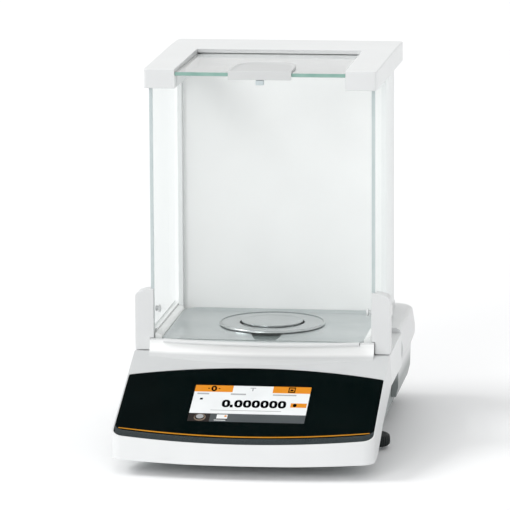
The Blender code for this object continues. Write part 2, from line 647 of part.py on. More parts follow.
def build_doors():
    panes = mirrored("pane", build_pane)
    runners = mirrored("door_runner", build_runner)
    handles = mirrored("door_handle", build_handle)
    knobs = mirrored("door_knob", build_knob)
    for i, prefix in enumerate(("left", "right")):
        side = -1 if i == 0 else 1
        moving_parent(prefix + "_door_slide", (side * PANE_X, GLASS_Y, SHOULDER_Z),
                      (panes[i], runners[i], handles[i], knobs[i]))


build_doors()


# ---------------------------------------------------------------- top door
def tab_outline(shrink):
    """The D-shaped grip: straight at the front and round behind."""
    half = 26.2 - shrink
    front, depth = -49.6 + shrink, 57.6 - 2 * shrink
    straight = 24.0
    rear = [(half * math.cos(a), front + straight + (depth - straight) * math.sin(a))
            for a in (math.pi * i / 16 for i in range(17))]
    return [(-half, front), (half, front)] + rear


def build_top_door():
    glass = box("top_glass", (-HATCH_HALF + 0.2, -47.8, TOP_GLASS_Z),
                (HATCH_HALF - 0.2, 87.0, TOP_GLASS_Z + 3.0),
                GLASS)
    above = TOP_GLASS_Z + 3.0 + GAP
    tab = prism("top_door_tab", tab_outline(0.0), above, above + 1.5, WHITE)
    cut(tab, prism("tab_dish", tab_outline(2.4), above + 0.8, above + 5.0))
    lip = box("tab_lip", (-26.2, -49.6, TOP_GLASS_Z - 2.6), (26.2, -48.1, above + 0.7))
    join(tab, lip)
    under = box("tab_tongue", (-24.0, -48.6, TOP_GLASS_Z - 2.4), (24.0, -44.0, TOP_GLASS_Z - GAP))
    join(tab, under)
    knob = box("top_door_knob", (-3.4, -49.4, 303.6), (3.4, -45.2, TOP_GLASS_Z - 2.6 - GAP), GREY, 0.5, 1)
    moving_parent("top_door_slide", (0, FRAME_FRONT_Y, TOP_GLASS_Z), (glass, tab, knob))


build_top_door()


# ---------------------------------------------------------------- weigh cell
def build_weigh_cell():
    frame = box("weigh_cell_frame", (-24.0, 30.0, 18.6), (24.0, 124.0, 25.0), ALUMINIUM)
    join(frame, box("pivot_block", (-16.0, 38.0, 23.0), (16.0, 54.0, 56.2)))
    cut(frame, box("lever_slot", (-7.0, 30.0, 44.0), (7.0, 60.0, 70.0)))
    px, py, pz = LEVER_PIVOT
    lever = box("load_lever", (-5.5, 20.0, 48.0), (5.5, 106.0, 56.0), ALUMINIUM)
    coil = turned("coil", [(12.4, 47.7), (14.6, 47.7), (14.6, 34.0), (12.4, 34.0)], (0, 92.0), COPPER, 32)
    turned("magnet", [(0.0, 42.0), (10.4, 42.0), (10.4, 30.0), (16.8, 30.0), (16.8, 44.0), (21.0, 44.0),
                      (21.0, 25.3), (0.0, 25.3)], (0, 92.0), GREY, 32)
    moving_parent("lever_axis", (px, py, pz), (lever, coil))


def build_calibration():
    sx, sy = SPINDLE
    weight = turned("calibration_weight", [(6.0, 70.0), (16.0, 70.0), (16.0, 62.0), (6.0, 62.0)], (0, PAN_Y),
                    BRASS, 36)
    carrier = box("weight_carrier", (-18.0, PAN_Y - 18.0, 59.3), (sx + 7.0, PAN_Y + 18.0, 61.7), ALUMINIUM)
    cut(carrier, cylinder("carrier_bore", 11.4, 10.0, (0, PAN_Y, 60.0)),
        box("carrier_mouth", (-30.0, PAN_Y - 11.0, 50.0), (0.0, PAN_Y + 11.0, 70.0)),
        cylinder("nut_bore", 3.3, 10.0, (sx, sy, 60.0), sides=16))
    spindle = turned("calibration_spindle",
                     [(0.0, 74.0), (2.6, 74.0), (3.0, 73.6), (3.0, 33.0), (0.0, 33.0)],
                     SPINDLE, STEEL, 16)
    box("calibration_motor", (sx - 10.0, sy - 10.0, 18.6), (sx + 10.0, sy + 10.0, 32.6), BLACK, 0.8, 1)
    moving_parent("carrier_slide", (sx, sy, 60.0), (weight, carrier))
    moving_parent("spindle_axis", (sx, sy, 33.0), (spindle,))


build_weigh_cell()
build_calibration()


# ---------------------------------------------------------------- electronics and connectors
def build_electronics():
    box("main_board", (-90.0, 70.0, 24.0), (-30.0, 160.0, 25.6), GREEN_BOARD)
    plate = box("connector_plate", (-69.7, 170.5, 30.3), (69.7, 173.2, 67.7), GREY)
    cut(plate, cylinder("inlet_hole", 6.6, 10.0, (-48.0, 172.0, 46.0), "Y"),
        box("data_hole", (-18.4, 160.0, 38.6), (-3.6, 180.0, 52.4)))
    inlet = cylinder("power_inlet", 6.3, 12.0, (-48.0, 168.0, 46.0), "Y", BLACK)
    cut(inlet, cylinder("inlet_bore", 4.0, 12.0, (-48.0, 172.0, 46.0), "Y"))
    port = box("data_port", (-18.1, 162.0, 38.9), (-3.9, 174.0, 52.1), STEEL)
    cut(port, box("port_bore", (-16.0, 164.0, 41.0), (-6.0, 180.0, 50.0)))


build_electronics()
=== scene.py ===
"""Looks of the analytical balance: fine shells, glass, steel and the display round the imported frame.

Lengths in the builders are in millimetres, in the frame's own axes, and become metres in `finish_mesh`.
"""
import math

import bmesh
import bpy
from mathutils import Matrix, Vector


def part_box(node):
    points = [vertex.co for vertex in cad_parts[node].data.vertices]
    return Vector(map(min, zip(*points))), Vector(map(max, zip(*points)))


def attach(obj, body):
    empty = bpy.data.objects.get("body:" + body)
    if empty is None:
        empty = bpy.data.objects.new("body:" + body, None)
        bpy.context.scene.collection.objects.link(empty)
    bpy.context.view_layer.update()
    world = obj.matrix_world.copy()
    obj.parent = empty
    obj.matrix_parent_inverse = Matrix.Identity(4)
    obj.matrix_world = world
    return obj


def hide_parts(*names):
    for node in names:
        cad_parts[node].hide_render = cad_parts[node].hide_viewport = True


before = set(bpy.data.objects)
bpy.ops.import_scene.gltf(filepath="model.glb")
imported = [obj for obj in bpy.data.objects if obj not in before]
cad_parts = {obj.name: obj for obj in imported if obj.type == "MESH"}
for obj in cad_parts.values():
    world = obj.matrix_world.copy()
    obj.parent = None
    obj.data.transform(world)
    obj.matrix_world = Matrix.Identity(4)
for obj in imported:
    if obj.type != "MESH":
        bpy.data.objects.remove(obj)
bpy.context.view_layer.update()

MM = 0.001
BASE = "balance"        # the body that stands still


def node_box(node):
    """Lowest and highest corner of a CAD node, in millimetres."""
    low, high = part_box(node)
    return low / MM, high / MM


# ---- sizes read from the frame, mm
HOUSING_LOW, HOUSING_HIGH = node_box("front_housing")
BEZEL_LOW, BEZEL_HIGH = node_box("display_bezel")
SCREEN_LOW, SCREEN_HIGH = node_box("touch_glass")
STRIPE_LOW = node_box("accent_strip")[0]
PANEL_LOW, PANEL_HIGH = node_box("right_side_panel")
REAR_LOW, REAR_HIGH = node_box("rear_housing")
PAN_LOW, PAN_HIGH = node_box("weighing_pan")
RING_LOW, RING_HIGH = node_box("draft_ring")
TRAY_LOW, TRAY_HIGH = node_box("chamber_tray")
COLUMN_LOW, COLUMN_HIGH = node_box("column")
FRAME_LOW, FRAME_HIGH = node_box("top_frame")
GLASS_LOW, GLASS_HIGH = node_box("front_glass")
PANE_LOW, PANE_HIGH = node_box("right_pane")
RUNNER_LOW, RUNNER_HIGH = node_box("right_door_runner")
HANDLE_LOW, HANDLE_HIGH = node_box("right_door_handle")
TAB_LOW, TAB_HIGH = node_box("top_door_tab")
TOP_GLASS_LOW, TOP_GLASS_HIGH = node_box("top_glass")
BASE_PAN_LOW, BASE_PAN_HIGH = node_box("base_pan")

SLOPE = 0.37                                        # rise of the display face per mm of depth
FACE_Z0 = BEZEL_HIGH.z - SLOPE * BEZEL_HIGH.y       # its height carried back to y = 0
LEDGE_Z = PANEL_HIGH.z                              # ledge under the door handles
SEAM_Y = PANEL_HIGH.y + 0.3                         # front of the rear housing's shoulders
SHOULDER_Z = LEDGE_Z + 4.5                          # top of those shoulders
PLATFORM_Z = TRAY_LOW.z - 0.3                       # chamber floor moulding
SILL_Z = HOUSING_HIGH.z                             # moulding in front of the glass
FRAME_TOP = FRAME_HIGH.z - 1.6                      # top frame at its front edge
HATCH_HALF = TOP_GLASS_HIGH.x + 0.2                 # half width of the opening in the top frame
HATCH_BACK = TOP_GLASS_HIGH.y - 8.0                 # front edge of the cover over the top glass
PAN_Y = (PAN_LOW.y + PAN_HIGH.y) / 2                # axis of the pan, the ring and the cone under it
CORNER = 8.0                                        # front corners of the display bezel
RIM = BEZEL_LOW.y - HOUSING_LOW.y                   # housing showing round the bezel


# ---- materials
def new_material(name):
    made = bpy.data.materials.new(name)
    made.use_nodes = True
    return made, made.node_tree.nodes, made.node_tree.links


def set_inputs(node, **values):
    """Set a shader node's inputs by name; To_Min here is the node's "To Min"."""
    for name, value in values.items():
        node.inputs[name.replace("_", " ")].default_value = value
    return node


def noise(nodes, links, scale, detail=2.0, stretch=(1, 1, 1)):
    """Noise in the object's own coordinates; scale is in cycles a metre."""
    place = nodes.new("ShaderNodeTexCoord")
    mapping = set_inputs(nodes.new("ShaderNodeMapping"), Scale=stretch)
    texture = set_inputs(nodes.new("ShaderNodeTexNoise"), Scale=scale, Detail=detail)
    links.new(place.outputs["Object"], mapping.inputs["Vector"])
    links.new(mapping.outputs["Vector"], texture.inputs["Vector"])
    return texture.outputs["Fac"]


def vary(nodes, links, source, low, high, target):
    """A grey value or a colour that runs from low to high with the source."""
    if isinstance(low, tuple):
        ramp = nodes.new("ShaderNodeValToRGB")
        for element, position, colour in zip(ramp.color_ramp.elements, (0.3, 0.7), (low, high)):
            element.position = position
            element.color = (*colour, 1)
        links.new(source, ramp.inputs["Fac"])
        links.new(ramp.outputs["Color"], target)
        return
    ranged = set_inputs(nodes.new("ShaderNodeMapRange"), From_Min=0.3, From_Max=0.7, To_Min=low, To_Max=high)
    links.new(source, ranged.inputs["Value"])
    links.new(ranged.outputs["Result"], target)


def add_grain(nodes, links, shader, rough, grain=2200.0, depth=0.00003, stretch=(1, 1, 1)):
    """A fine noise that moves the roughness and stands up as a small bump."""
    fine = noise(nodes, links, grain, 2.0, stretch)
    vary(nodes, links, fine, rough[0], rough[1], shader.inputs["Roughness"])
    relief = set_inputs(nodes.new("ShaderNodeBump"), Strength=0.25, Distance=depth)
    links.new(fine, relief.inputs["Height"])
    links.new(relief.outputs["Normal"], shader.inputs["Normal"])


def surface(name, low, high, rough, patch=30.0, metallic=0.0, coat=0.0, specular=0.5, **grain):
    """A surface whose colour and roughness drift in patches, with a fine bump over it."""
    made, nodes, links = new_material(name)
    shader = set_inputs(nodes["Principled BSDF"], Metallic=metallic, Coat_Weight=coat, Coat_Roughness=0.2,
                        Specular_IOR_Level=specular)
    vary(nodes, links, noise(nodes, links, patch, 3.0), low, high, shader.inputs["Base Color"])
    add_grain(nodes, links, shader, rough, **grain)
    return made


def light_and_shade_fade(name, low, high, z0, z1):
    """A moulded surface with painted light and shade: it gets darker towards its foot, from height z1 down
    to z0, in metres.
    """
    made, nodes, links = new_material(name)
    shader = set_inputs(nodes["Principled BSDF"], Coat_Weight=0.1)
    place = nodes.new("ShaderNodeTexCoord")
    axes = nodes.new("ShaderNodeSeparateXYZ")
    links.new(place.outputs["Object"], axes.inputs["Vector"])
    height = set_inputs(nodes.new("ShaderNodeMapRange"), From_Min=z0, From_Max=z1)
    height.interpolation_type = "SMOOTHSTEP"
    links.new(axes.outputs["Z"], height.inputs["Value"])
    vary(nodes, links, height.outputs["Result"], low, high, shader.inputs["Base Color"])
    add_grain(nodes, links, shader, (0.36, 0.44))
    return made


def display_light(name, colour, strength, gloss=0.1):
    """Part of the lit display: it glows a little, with a faint drift in tone."""
    made, nodes, links = new_material(name)
    shader = set_inputs(nodes["Principled BSDF"], Roughness=0.35, Specular_IOR_Level=gloss,
                        Emission_Strength=strength)
    drift = noise(nodes, links, 60.0, 1.0)
    for target in ("Base Color", "Emission Color"):
        vary(nodes, links, drift, tuple(c * 0.96 for c in colour), colour, shader.inputs[target])
    return made


def mix_shaders(nodes, links, share, first, second):
    """Show the second shader by a share, and the first for the rest."""
    mix = nodes.new("ShaderNodeMixShader")
    for socket, source in zip(mix.inputs, (share, first.outputs[0], second.outputs[0])):
        links.new(source, socket)
    links.new(mix.outputs[0], nodes["Material Output"].inputs["Surface"])


def tint_glass(nodes, links, tint, target):
    vary(nodes, links, noise(nodes, links, 14.0, 1.0), tuple(c * 0.995 for c in tint), tint, target)


def clear_glass(name, tint):
    """Pane glass: mostly clear, and it mirrors more as it turns away."""
    made, nodes, links = new_material(name)
    nodes.remove(nodes["Principled BSDF"])
    clear = nodes.new("ShaderNodeBsdfTransparent")
    tint_glass(nodes, links, tint, clear.inputs["Color"])
    mirror = set_inputs(nodes.new("ShaderNodeBsdfGlossy"), Roughness=0.02, Color=(0.95, 0.98, 0.97, 1))
    weight = set_inputs(nodes.new("ShaderNodeLayerWeight"), Blend=0.5)
    power = nodes.new("ShaderNodeMath")
    power.operation = "POWER"
    power.inputs[1].default_value = 5.0
    share = nodes.new("ShaderNodeMath")
    share.operation = "MULTIPLY_ADD"
    share.inputs[1].default_value = 0.35
    share.inputs[2].default_value = 0.015
    links.new(weight.outputs["Facing"], power.inputs[0])
    links.new(power.outputs[0], share.inputs[0])
    mix_shaders(nodes, links, share.outputs[0], clear, mirror)
    return made


def solid_glass(name, tint):
    """Glass that bends what lies behind it; light on its way to other surfaces passes straight through."""
    made, nodes, links = new_material(name)
    shader = set_inputs(nodes["Principled BSDF"], Transmission_Weight=1.0, Roughness=0.0, IOR=1.5)
    tint_glass(nodes, links, tint, shader.inputs["Base Color"])
    path = nodes.new("ShaderNodeLightPath")
    mix_shaders(nodes, links, path.outputs["Is Shadow Ray"], shader, nodes.new("ShaderNodeBsdfTransparent"))
    return made


WHITE = surface("white_plastic", (0.685, 0.697, 0.70), (0.705, 0.717, 0.72), (0.30, 0.38), coat=0.15)
# Painted light: a lighter copy of the white plastic, for faces that should look more brightly lit.
PAINTED_LIT_WHITE = surface("white_plastic_light", (0.785, 0.80, 0.80), (0.805, 0.82, 0.82), (0.34, 0.42), coat=0.1)
# Painted shade: the white plastic darkens towards the foot of the rear housing's sides, from 64 mm down to
# 18 mm.
SHADE_FADED_SIDE = light_and_shade_fade("white_plastic_shaded", (0.24, 0.265, 0.265), (0.74, 0.75, 0.755), 0.018, 0.064)
# Painted shade: a darker copy of the white for the flat tops of the front housing.
SHADED_SHELL_TOP = surface("white_shell_top", (0.575, 0.588, 0.592), (0.595, 0.608, 0.612), (0.34, 0.42), coat=0.1)
# Painted light and shade: the cove of the front housing runs from dark at its foot to light at its top.
LIT_AND_SHADED_RISE = light_and_shade_fade("white_shell_rise", (0.605, 0.617, 0.62), (0.89, 0.90, 0.895), 0.0742, 0.083)
WALL = surface("back_wall_plastic", (0.88, 0.885, 0.88), (0.90, 0.905, 0.90), (0.45, 0.55))
TAB = surface("tab_plastic", (0.58, 0.59, 0.59), (0.61, 0.62, 0.62), (0.4, 0.5))
# Painted shade: the base pan's plastic is drawn dark grey, for the shade under the body.
SHADED_SKIRT = surface("shaded_plastic", (0.275, 0.305, 0.305), (0.31, 0.345, 0.345), (0.45, 0.55))
GREY = surface("grey_casting", (0.17, 0.19, 0.20), (0.21, 0.23, 0.24), (0.5, 0.65), grain=900.0,
               depth=0.00008)
BEZEL = surface("black_gloss", (0.0008, 0.0030, 0.0030), (0.0012, 0.0038, 0.0038), (0.10, 0.14),
                specular=0.008, depth=0.000004)
BEZEL_EDGE = surface("black_gloss_edge", (0.0125, 0.0205, 0.022), (0.0165, 0.0255, 0.028), (0.25, 0.32),
                     specular=0.35, depth=0.000006)
BLACK = surface("black_plastic", (0.004, 0.007, 0.007), (0.007, 0.011, 0.011), (0.42, 0.55), grain=1500.0,
                specular=0.2)
RUBBER = surface("rubber", (0.012, 0.012, 0.013), (0.020, 0.020, 0.021), (0.75, 0.9), grain=1200.0,
                 depth=0.00008)
ORANGE = surface("orange_accent", (0.52, 0.21, 0.006), (0.58, 0.24, 0.008), (0.3, 0.4), specular=0.1)
TRAY = surface("tray_steel", (0.575, 0.615, 0.62), (0.65, 0.68, 0.685), (0.26, 0.38), metallic=1.0,
               grain=500.0, stretch=(0.15, 9.0, 1.0), depth=0.00002)
STEEL = surface("brushed_steel", (0.50, 0.53, 0.535), (0.57, 0.595, 0.60), (0.18, 0.28), metallic=1.0,
                grain=700.0, stretch=(0.2, 8.0, 1.0), depth=0.00001)
POLISHED = surface("polished_steel", (0.62, 0.64, 0.645), (0.68, 0.70, 0.70), (0.10, 0.16), metallic=1.0,
                   depth=0.000005)
ALUMINIUM = surface("aluminium", (0.58, 0.59, 0.60), (0.66, 0.67, 0.68), (0.30, 0.42), metallic=1.0,
                    grain=900.0, stretch=(8.0, 0.3, 1.0))
BOARD = surface("circuit_board", (0.010, 0.11, 0.05), (0.02, 0.17, 0.08), (0.35, 0.5), patch=400.0)
COPPER = surface("copper", (0.60, 0.26, 0.14), (0.74, 0.36, 0.20), (0.25, 0.4), metallic=1.0, grain=1400.0,
                 stretch=(0.2, 0.2, 6.0), depth=0.0001)
BRASS = surface("brass", (0.62, 0.46, 0.20), (0.72, 0.56, 0.26), (0.2, 0.3), metallic=1.0)
# Dark grey, for the lining of the tray's notch and, as a painted reflection, for the inner face of the
# ring's rim.
NOTCH_GREY_AND_RIM_REFLECTION = surface("grey_recess", (0.13, 0.155, 0.155), (0.17, 0.195, 0.195), (0.5, 0.6))
PEG = surface("grey_peg", (0.50, 0.56, 0.58), (0.54, 0.60, 0.62), (0.4, 0.5))
GLASS = clear_glass("clear_glass", (0.994, 0.998, 0.997))
TOP_GLASS = solid_glass("top_glass_clear", (0.985, 0.995, 0.99))
GREEN_EDGE = surface("glass_edge_green", (0.20, 0.36, 0.31), (0.27, 0.44, 0.385), (0.12, 0.2),
                     patch=80.0, grain=500.0, stretch=(0.1, 1, 1))
PALE_EDGE = surface("glass_edge_pale", (0.50, 0.57, 0.575), (0.55, 0.61, 0.615), (0.15, 0.25), patch=60.0)
PAGE = display_light("display_page", (0.70, 0.72, 0.725), 0.15)
KEY = display_light("display_key", (0.64, 0.225, 0.008), 0.15)
BAR = display_light("display_bar", (0.068, 0.078, 0.083), 0.1)
BAR_DARK = display_light("display_bar_dark", (0.016, 0.012, 0.011), 0.05)
INK = display_light("display_ink", (0.002, 0.002, 0.003), 0.0, gloss=0.0)
INK_GREY = display_light("display_ink_grey", (0.38, 0.39, 0.40), 0.05)
INK_TAN = display_light("display_ink_tan", (0.20, 0.15, 0.11), 0.1)


# ---- mesh building
def add_mesh(name, bm):
    """A working object in millimetres."""
    bmesh.ops.recalc_face_normals(bm, faces=bm.faces)
    mesh = bpy.data.meshes.new(name)
    bm.to_mesh(mesh)
    bm.free()
    made = bpy.data.objects.new(name, mesh)
    bpy.context.scene.collection.objects.link(made)
    return made


def extrude(bm, points, move):
    """A flat outline of 3-D points, carried along a vector."""
    base = bm.faces.new([bm.verts.new(p) for p in points])
    grown = bmesh.ops.extrude_face_region(bm, geom=[base])
    moved = [item for item in grown["geom"] if isinstance(item, bmesh.types.BMVert)]
    bmesh.ops.translate(bm, vec=move, verts=moved)


def extruded(name, points, move):
    bm = bmesh.new()
    extrude(bm, points, move)
    return add_mesh(name, bm)


def prism(name, outline, z0, z1):
    return extruded(name, [(x, y, z0) for x, y in outline], (0, 0, z1 - z0))


def side_prism(name, outline, x0, x1):
    return extruded(name, [(x0, y, z) for y, z in outline], (x1 - x0, 0, 0))


def front_prism(name, outline, y0, y1):
    return extruded(name, [(x, y0, z) for x, z in outline], (0, y1 - y0, 0))


def block(name, low, high):
    bm = bmesh.new()
    bmesh.ops.create_cube(bm, size=1.0)
    bmesh.ops.scale(bm, vec=[b - a for a, b in zip(low, high)], verts=bm.verts)
    bmesh.ops.translate(bm, vec=[(a + b) / 2 for a, b in zip(low, high)], verts=bm.verts)
    return add_mesh(name, bm)


def bridge(bm, rings):
    """Faces between neighbouring closed rings; a ring of one point is a tip."""
    for lower, upper in zip(rings, rings[1:]):
        count = max(len(lower), len(upper))
        for i in range(count):
            j = (i + 1) % count
            if len(lower) == 1:
                bm.faces.new((lower[0], upper[i], upper[j]))
            elif len(upper) == 1:
                bm.faces.new((lower[i], upper[0], lower[j]))
            else:
                bm.faces.new((lower[i], lower[j], upper[j], upper[i]))


def grown_block(name, low, high, more, z0, z1):
    """A block with the plan of a box, grown by `more` along x and y, from z0 to z1."""
    grow_x, grow_y = more
    return block(name, (low.x - grow_x, low.y - grow_y, z0), (high.x + grow_x, high.y + grow_y, z1))


def loft(name, rings):
    """A closed solid through rings of points that have the same count."""
    bm = bmesh.new()
    made = [[bm.verts.new(p) for p in ring] for ring in rings]
    bridge(bm, made)
    bm.faces.new(list(reversed(made[0])))
    bm.faces.new(made[-1])
    return add_mesh(name, bm)


def turned(name, profile, centre, steps=96, dip=None):
    """A turned piece about Z through (radius, height) points; ends at radius 0 are closed.

    A profile point may have a third number, the share of `dip` that is taken off its radius at each angle.
    """
    bm = bmesh.new()
    rings = []
    for radius, z, *share in profile:
        ring = []
        for i in range(steps if radius > 1e-6 else 1):
            angle = 2 * math.pi * i / steps
            reach = radius - (dip(angle) * share[0] if share else 0.0)
            x, y = reach * math.cos(angle), reach * math.sin(angle)
            ring.append(bm.verts.new((centre[0] + x, centre[1] + y, z)))
        rings.append(ring)
    if len(rings[0]) > 1:
        rings.append(rings[0])
    bridge(bm, rings)
    return add_mesh(name, bm)


def rounded_profile(points, radius, steps=4):
    """Corner points in a plane with each corner rounded; the radius may be one number or one a corner."""
    made = []
    count = len(points)
    for i, point in enumerate(points):
        here = Vector(point)
        before = Vector(points[i - 1]) - here
        after = Vector(points[(i + 1) % count]) - here
        wish = radius[i] if isinstance(radius, (list, tuple)) else radius
        half_angle = before.angle(after) / 2
        if wish <= 0 or half_angle > math.radians(88):
            made.append(tuple(here))
            continue
        reach = min(wish / math.tan(half_angle), before.length * 0.45, after.length * 0.45)
        start = here + before.normalized() * reach
        end = here + after.normalized() * reach
        for step in range(steps + 1):
            t = step / steps
            made.append(tuple(start * (1 - t) ** 2 + here * 2 * t * (1 - t) + end * t ** 2))
    return made


def boolean(obj, *others, operation="DIFFERENCE"):
    """Cut with, join to or keep the common part with other working objects, which are used up."""
    for other in others:
        change = obj.modifiers.new("change", "BOOLEAN")
        change.operation = operation
        change.solver = "EXACT"
        change.object = other
        depsgraph = bpy.context.evaluated_depsgraph_get()
        mesh = bpy.data.meshes.new_from_object(obj.evaluated_get(depsgraph))
        obj.modifiers.clear()
        obj.data = mesh
        bpy.data.objects.remove(other, do_unlink=True)
    return obj


def round_edges(obj, width, segments=3, angle=28.0, where=None):
    """Bevel the edges that turn more than an angle, where the middle of the edge passes a test."""
    bm = bmesh.new()
    bm.from_mesh(obj.data)
    bmesh.ops.remove_doubles(bm, verts=bm.verts, dist=0.002)
    bmesh.ops.dissolve_limit(bm, angle_limit=math.radians(0.5), verts=bm.verts, edges=bm.edges)
    limit = math.radians(angle)
    chosen = []
    for edge in bm.edges:
        if len(edge.link_faces) == 2 and edge.calc_face_angle(0.0) > limit:
            middle = (edge.verts[0].co + edge.verts[1].co) / 2
            if where is None or where(middle):
                chosen.append(edge)
    bmesh.ops.bevel(bm, geom=chosen, offset=width, segments=segments, profile=0.5, affect="EDGES",
                    clamp_overlap=True)
    bm.to_mesh(obj.data)
    bm.free()
    return obj


def lean(obj, lift=0.0):
    """Shear a flat piece, drawn round z = 0, so that it lies along the display face."""
    shear = Matrix.Identity(4)
    shear[2][1] = SLOPE
    obj.data.transform(Matrix.Translation((0, 0, FACE_Z0 + lift)) @ shear)
    return obj


def weigh_normals(mesh, angle):
    """Corner normals weighed by face area, so that flat faces stay flat beside small rounded edges."""
    limit = math.cos(math.radians(angle))
    around = [[] for _ in mesh.vertices]
    for face in mesh.polygons:
        for vertex in face.vertices:
            around[vertex].append((face.normal.copy(), face.area))
    corners = []
    for face in mesh.polygons:
        for vertex in face.vertices:
            total = Vector((0, 0, 0))
            for normal, area in around[vertex]:
                if normal.dot(face.normal) > limit:
                    total += normal * area
            corners.append(total.normalized() if total.length > 0 else face.normal.copy())
    mesh.normals_split_custom_set(corners)


def mark_faces(obj, choose):
    """Give each face the place, in its piece's list of materials, that the choice returns."""
    for face in obj.data.polygons:
        face.material_index = int(choose(face))
    return obj


def finish_mesh(obj, material, body=BASE, node=None, smooth=44.0):
    """Turn a working object into a piece: metres, material, shading, body and the node it stands for.

    The material may be a list, for a piece whose faces are already marked.
    """
    obj.data.transform(Matrix.Scale(MM, 4))
    materials = material if isinstance(material, list) else [material]
    marks = [face.material_index if len(materials) > 1 else 0 for face in obj.data.polygons]
    obj.data.materials.clear()
    for one in materials:
        obj.data.materials.append(one)
    for face, mark in zip(obj.data.polygons, marks):
        face.material_index = mark
    obj.data.shade_smooth()
    weigh_normals(obj.data, smooth)
    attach(obj, body)
    if node:
        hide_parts(node)
    return obj


def mirrored(obj, name):
    """The left-hand twin of a right-hand working object."""
    twin = bpy.data.objects.new(name, obj.data.copy())
    bpy.context.scene.collection.objects.link(twin)
    twin.data.transform(Matrix.Scale(-1, 4, Vector((1, 0, 0))))
    twin.data.flip_normals()
    return twin


def pair(obj, material, stem, body=None):
    """Finish a right-hand piece and its left-hand twin, each for its own node and on its own body."""
    for piece, side in ((obj, "right"), (mirrored(obj, "left_" + stem), "left")):
        piece.name = side + "_" + stem + "_shell"
        finish_mesh(piece, material, side + "_" + body if body else BASE, side + "_" + stem)


def arc_y(x, half, y_middle, y_ends):
    """The y of a circular arc from (-half, y_ends) through (0, y_middle) to (half, y_ends)."""
    rise = y_middle - y_ends
    radius = (half * half + rise * rise) / (2 * abs(rise))
    return y_middle - math.copysign(1.0, rise) * (radius - math.sqrt(radius * radius - x * x))


def corner(cx, cy, radius, start, end, count):
    """Points on an arc from one angle to another, in degrees."""
    angles = [math.radians(start + (end - start) * i / (count - 1)) for i in range(count)]
    return [(cx + radius * math.cos(a), cy + radius * math.sin(a)) for a in angles]


def rectangle(x0, x1, y0, y1, slant=0.0):
    middle = (y0 + y1) / 2
    return [(x + slant * (y - middle), y) for x, y in ((x0, y0), (x1, y0), (x1, y1), (x0, y1))]


def rounded_rectangle(x0, x1, y0, y1, radii, count=8):
    """Anticlockwise from the front left; radii are for front left, front right, back right, back left."""
    fl, fr, br, bl = radii
    return (corner(x0 + fl, y0 + fl, fl, 180, 270, count) + corner(x1 - fr, y0 + fr, fr, 270, 360, count)
            + corner(x1 - br, y1 - br, br, 0, 90, count) + corner(x0 + bl, y1 - bl, bl, 90, 180, count))


# ---- outlines of the front
FRONT_BOW = 10.0        # how far the front edge bows out in the middle
BACK_BOW = 13.0         # the same for the bezel's rear edge


def front_edge(x, grow=0.0):
    """The y of the front edge at x, bowed and with round corners, with the outline grown all round."""
    half = BEZEL_HIGH.x + grow
    radius = CORNER + grow
    middle = BEZEL_LOW.y - grow
    inner = half - radius
    reach = min(abs(x), inner)
    y = arc_y(reach, half, middle, middle + FRONT_BOW)
    if abs(x) > inner:
        turn = math.asin(min(1.0, (abs(x) - inner) / radius))
        slope = 2 * FRONT_BOW * inner / (half * half)
        y += radius * (1 - math.cos(turn)) + slope * radius * math.sin(turn) * (1 - turn / math.pi)
    return y


def front_columns(grow=0.0, bow_steps=40, corner_steps=8):
    """The x places along the front, closer together round the corners."""
    radius = CORNER + grow
    inner = BEZEL_HIGH.x + grow - radius
    bow = [-inner + 2 * inner * i / bow_steps for i in range(bow_steps + 1)]
    quarter = [math.pi / 2 * i / corner_steps for i in range(1, corner_steps + 1)]
    turn = [inner + radius * math.sin(angle) for angle in quarter]
    return [-x for x in reversed(turn)] + bow + turn


def front_plan(grow, back_y):
    """The outline of the front, grown all round, closed by a straight line at back_y."""
    points = [(x, front_edge(x, grow)) for x in front_columns(grow)]
    half = BEZEL_HIGH.x + grow
    return points + [(half, back_y), (-half, back_y)]


def bezel_back(x, grow=0.0):
    """The y of the bezel's rear edge at x."""
    return arc_y(x, BEZEL_HIGH.x + 1.0, BEZEL_HIGH.y + grow, BEZEL_HIGH.y - BACK_BOW + grow)


def bezel_plan(grow):
    """The outline of the display bezel, grown all round."""
    half = BEZEL_HIGH.x + grow
    front = [(x, front_edge(x, grow)) for x in front_columns(grow)]
    across = [half - 2 * half * i / 40 for i in range(41)]
    return front + [(x, bezel_back(x, grow)) for x in across]


# ---- front housing
SILL_BOW = 11.0         # how far the moulding in front of the glass bows out in the middle
SILL_HALF = 86.0        # where its bow runs out


def sill_bow(x):
    return SILL_BOW * max(0.0, 1 - (x / SILL_HALF) ** 2)


def sill_section(x):
    """The moulding in front of the glass at x: a flat top and a cove that runs down to the display."""
    bow = sill_bow(x)
    centre_y, centre_z, radius, toe_share, steps = -58.2, 86.8, 12.6, 0.6, 20
    edge = centre_y + radius - bow
    section = [(x, -36.6, 70.0), (x, -36.6, SILL_Z), (x, edge + 0.7, SILL_Z), (x, edge + 0.3, SILL_Z - 0.1),
               (x, edge + 0.08, SILL_Z - 0.35), (x, edge, SILL_Z - 0.75)]
    for step in range(steps + 1):
        angle = math.radians(-66.0 * step / steps)
        near_y = centre_y - (1 - (1 - toe_share) * step / steps) * bow
        section.append((x, near_y + radius * math.cos(angle), centre_z + radius * math.sin(angle)))
    section.append((x, -56.0 - toe_share * bow, 70.0))
    return section


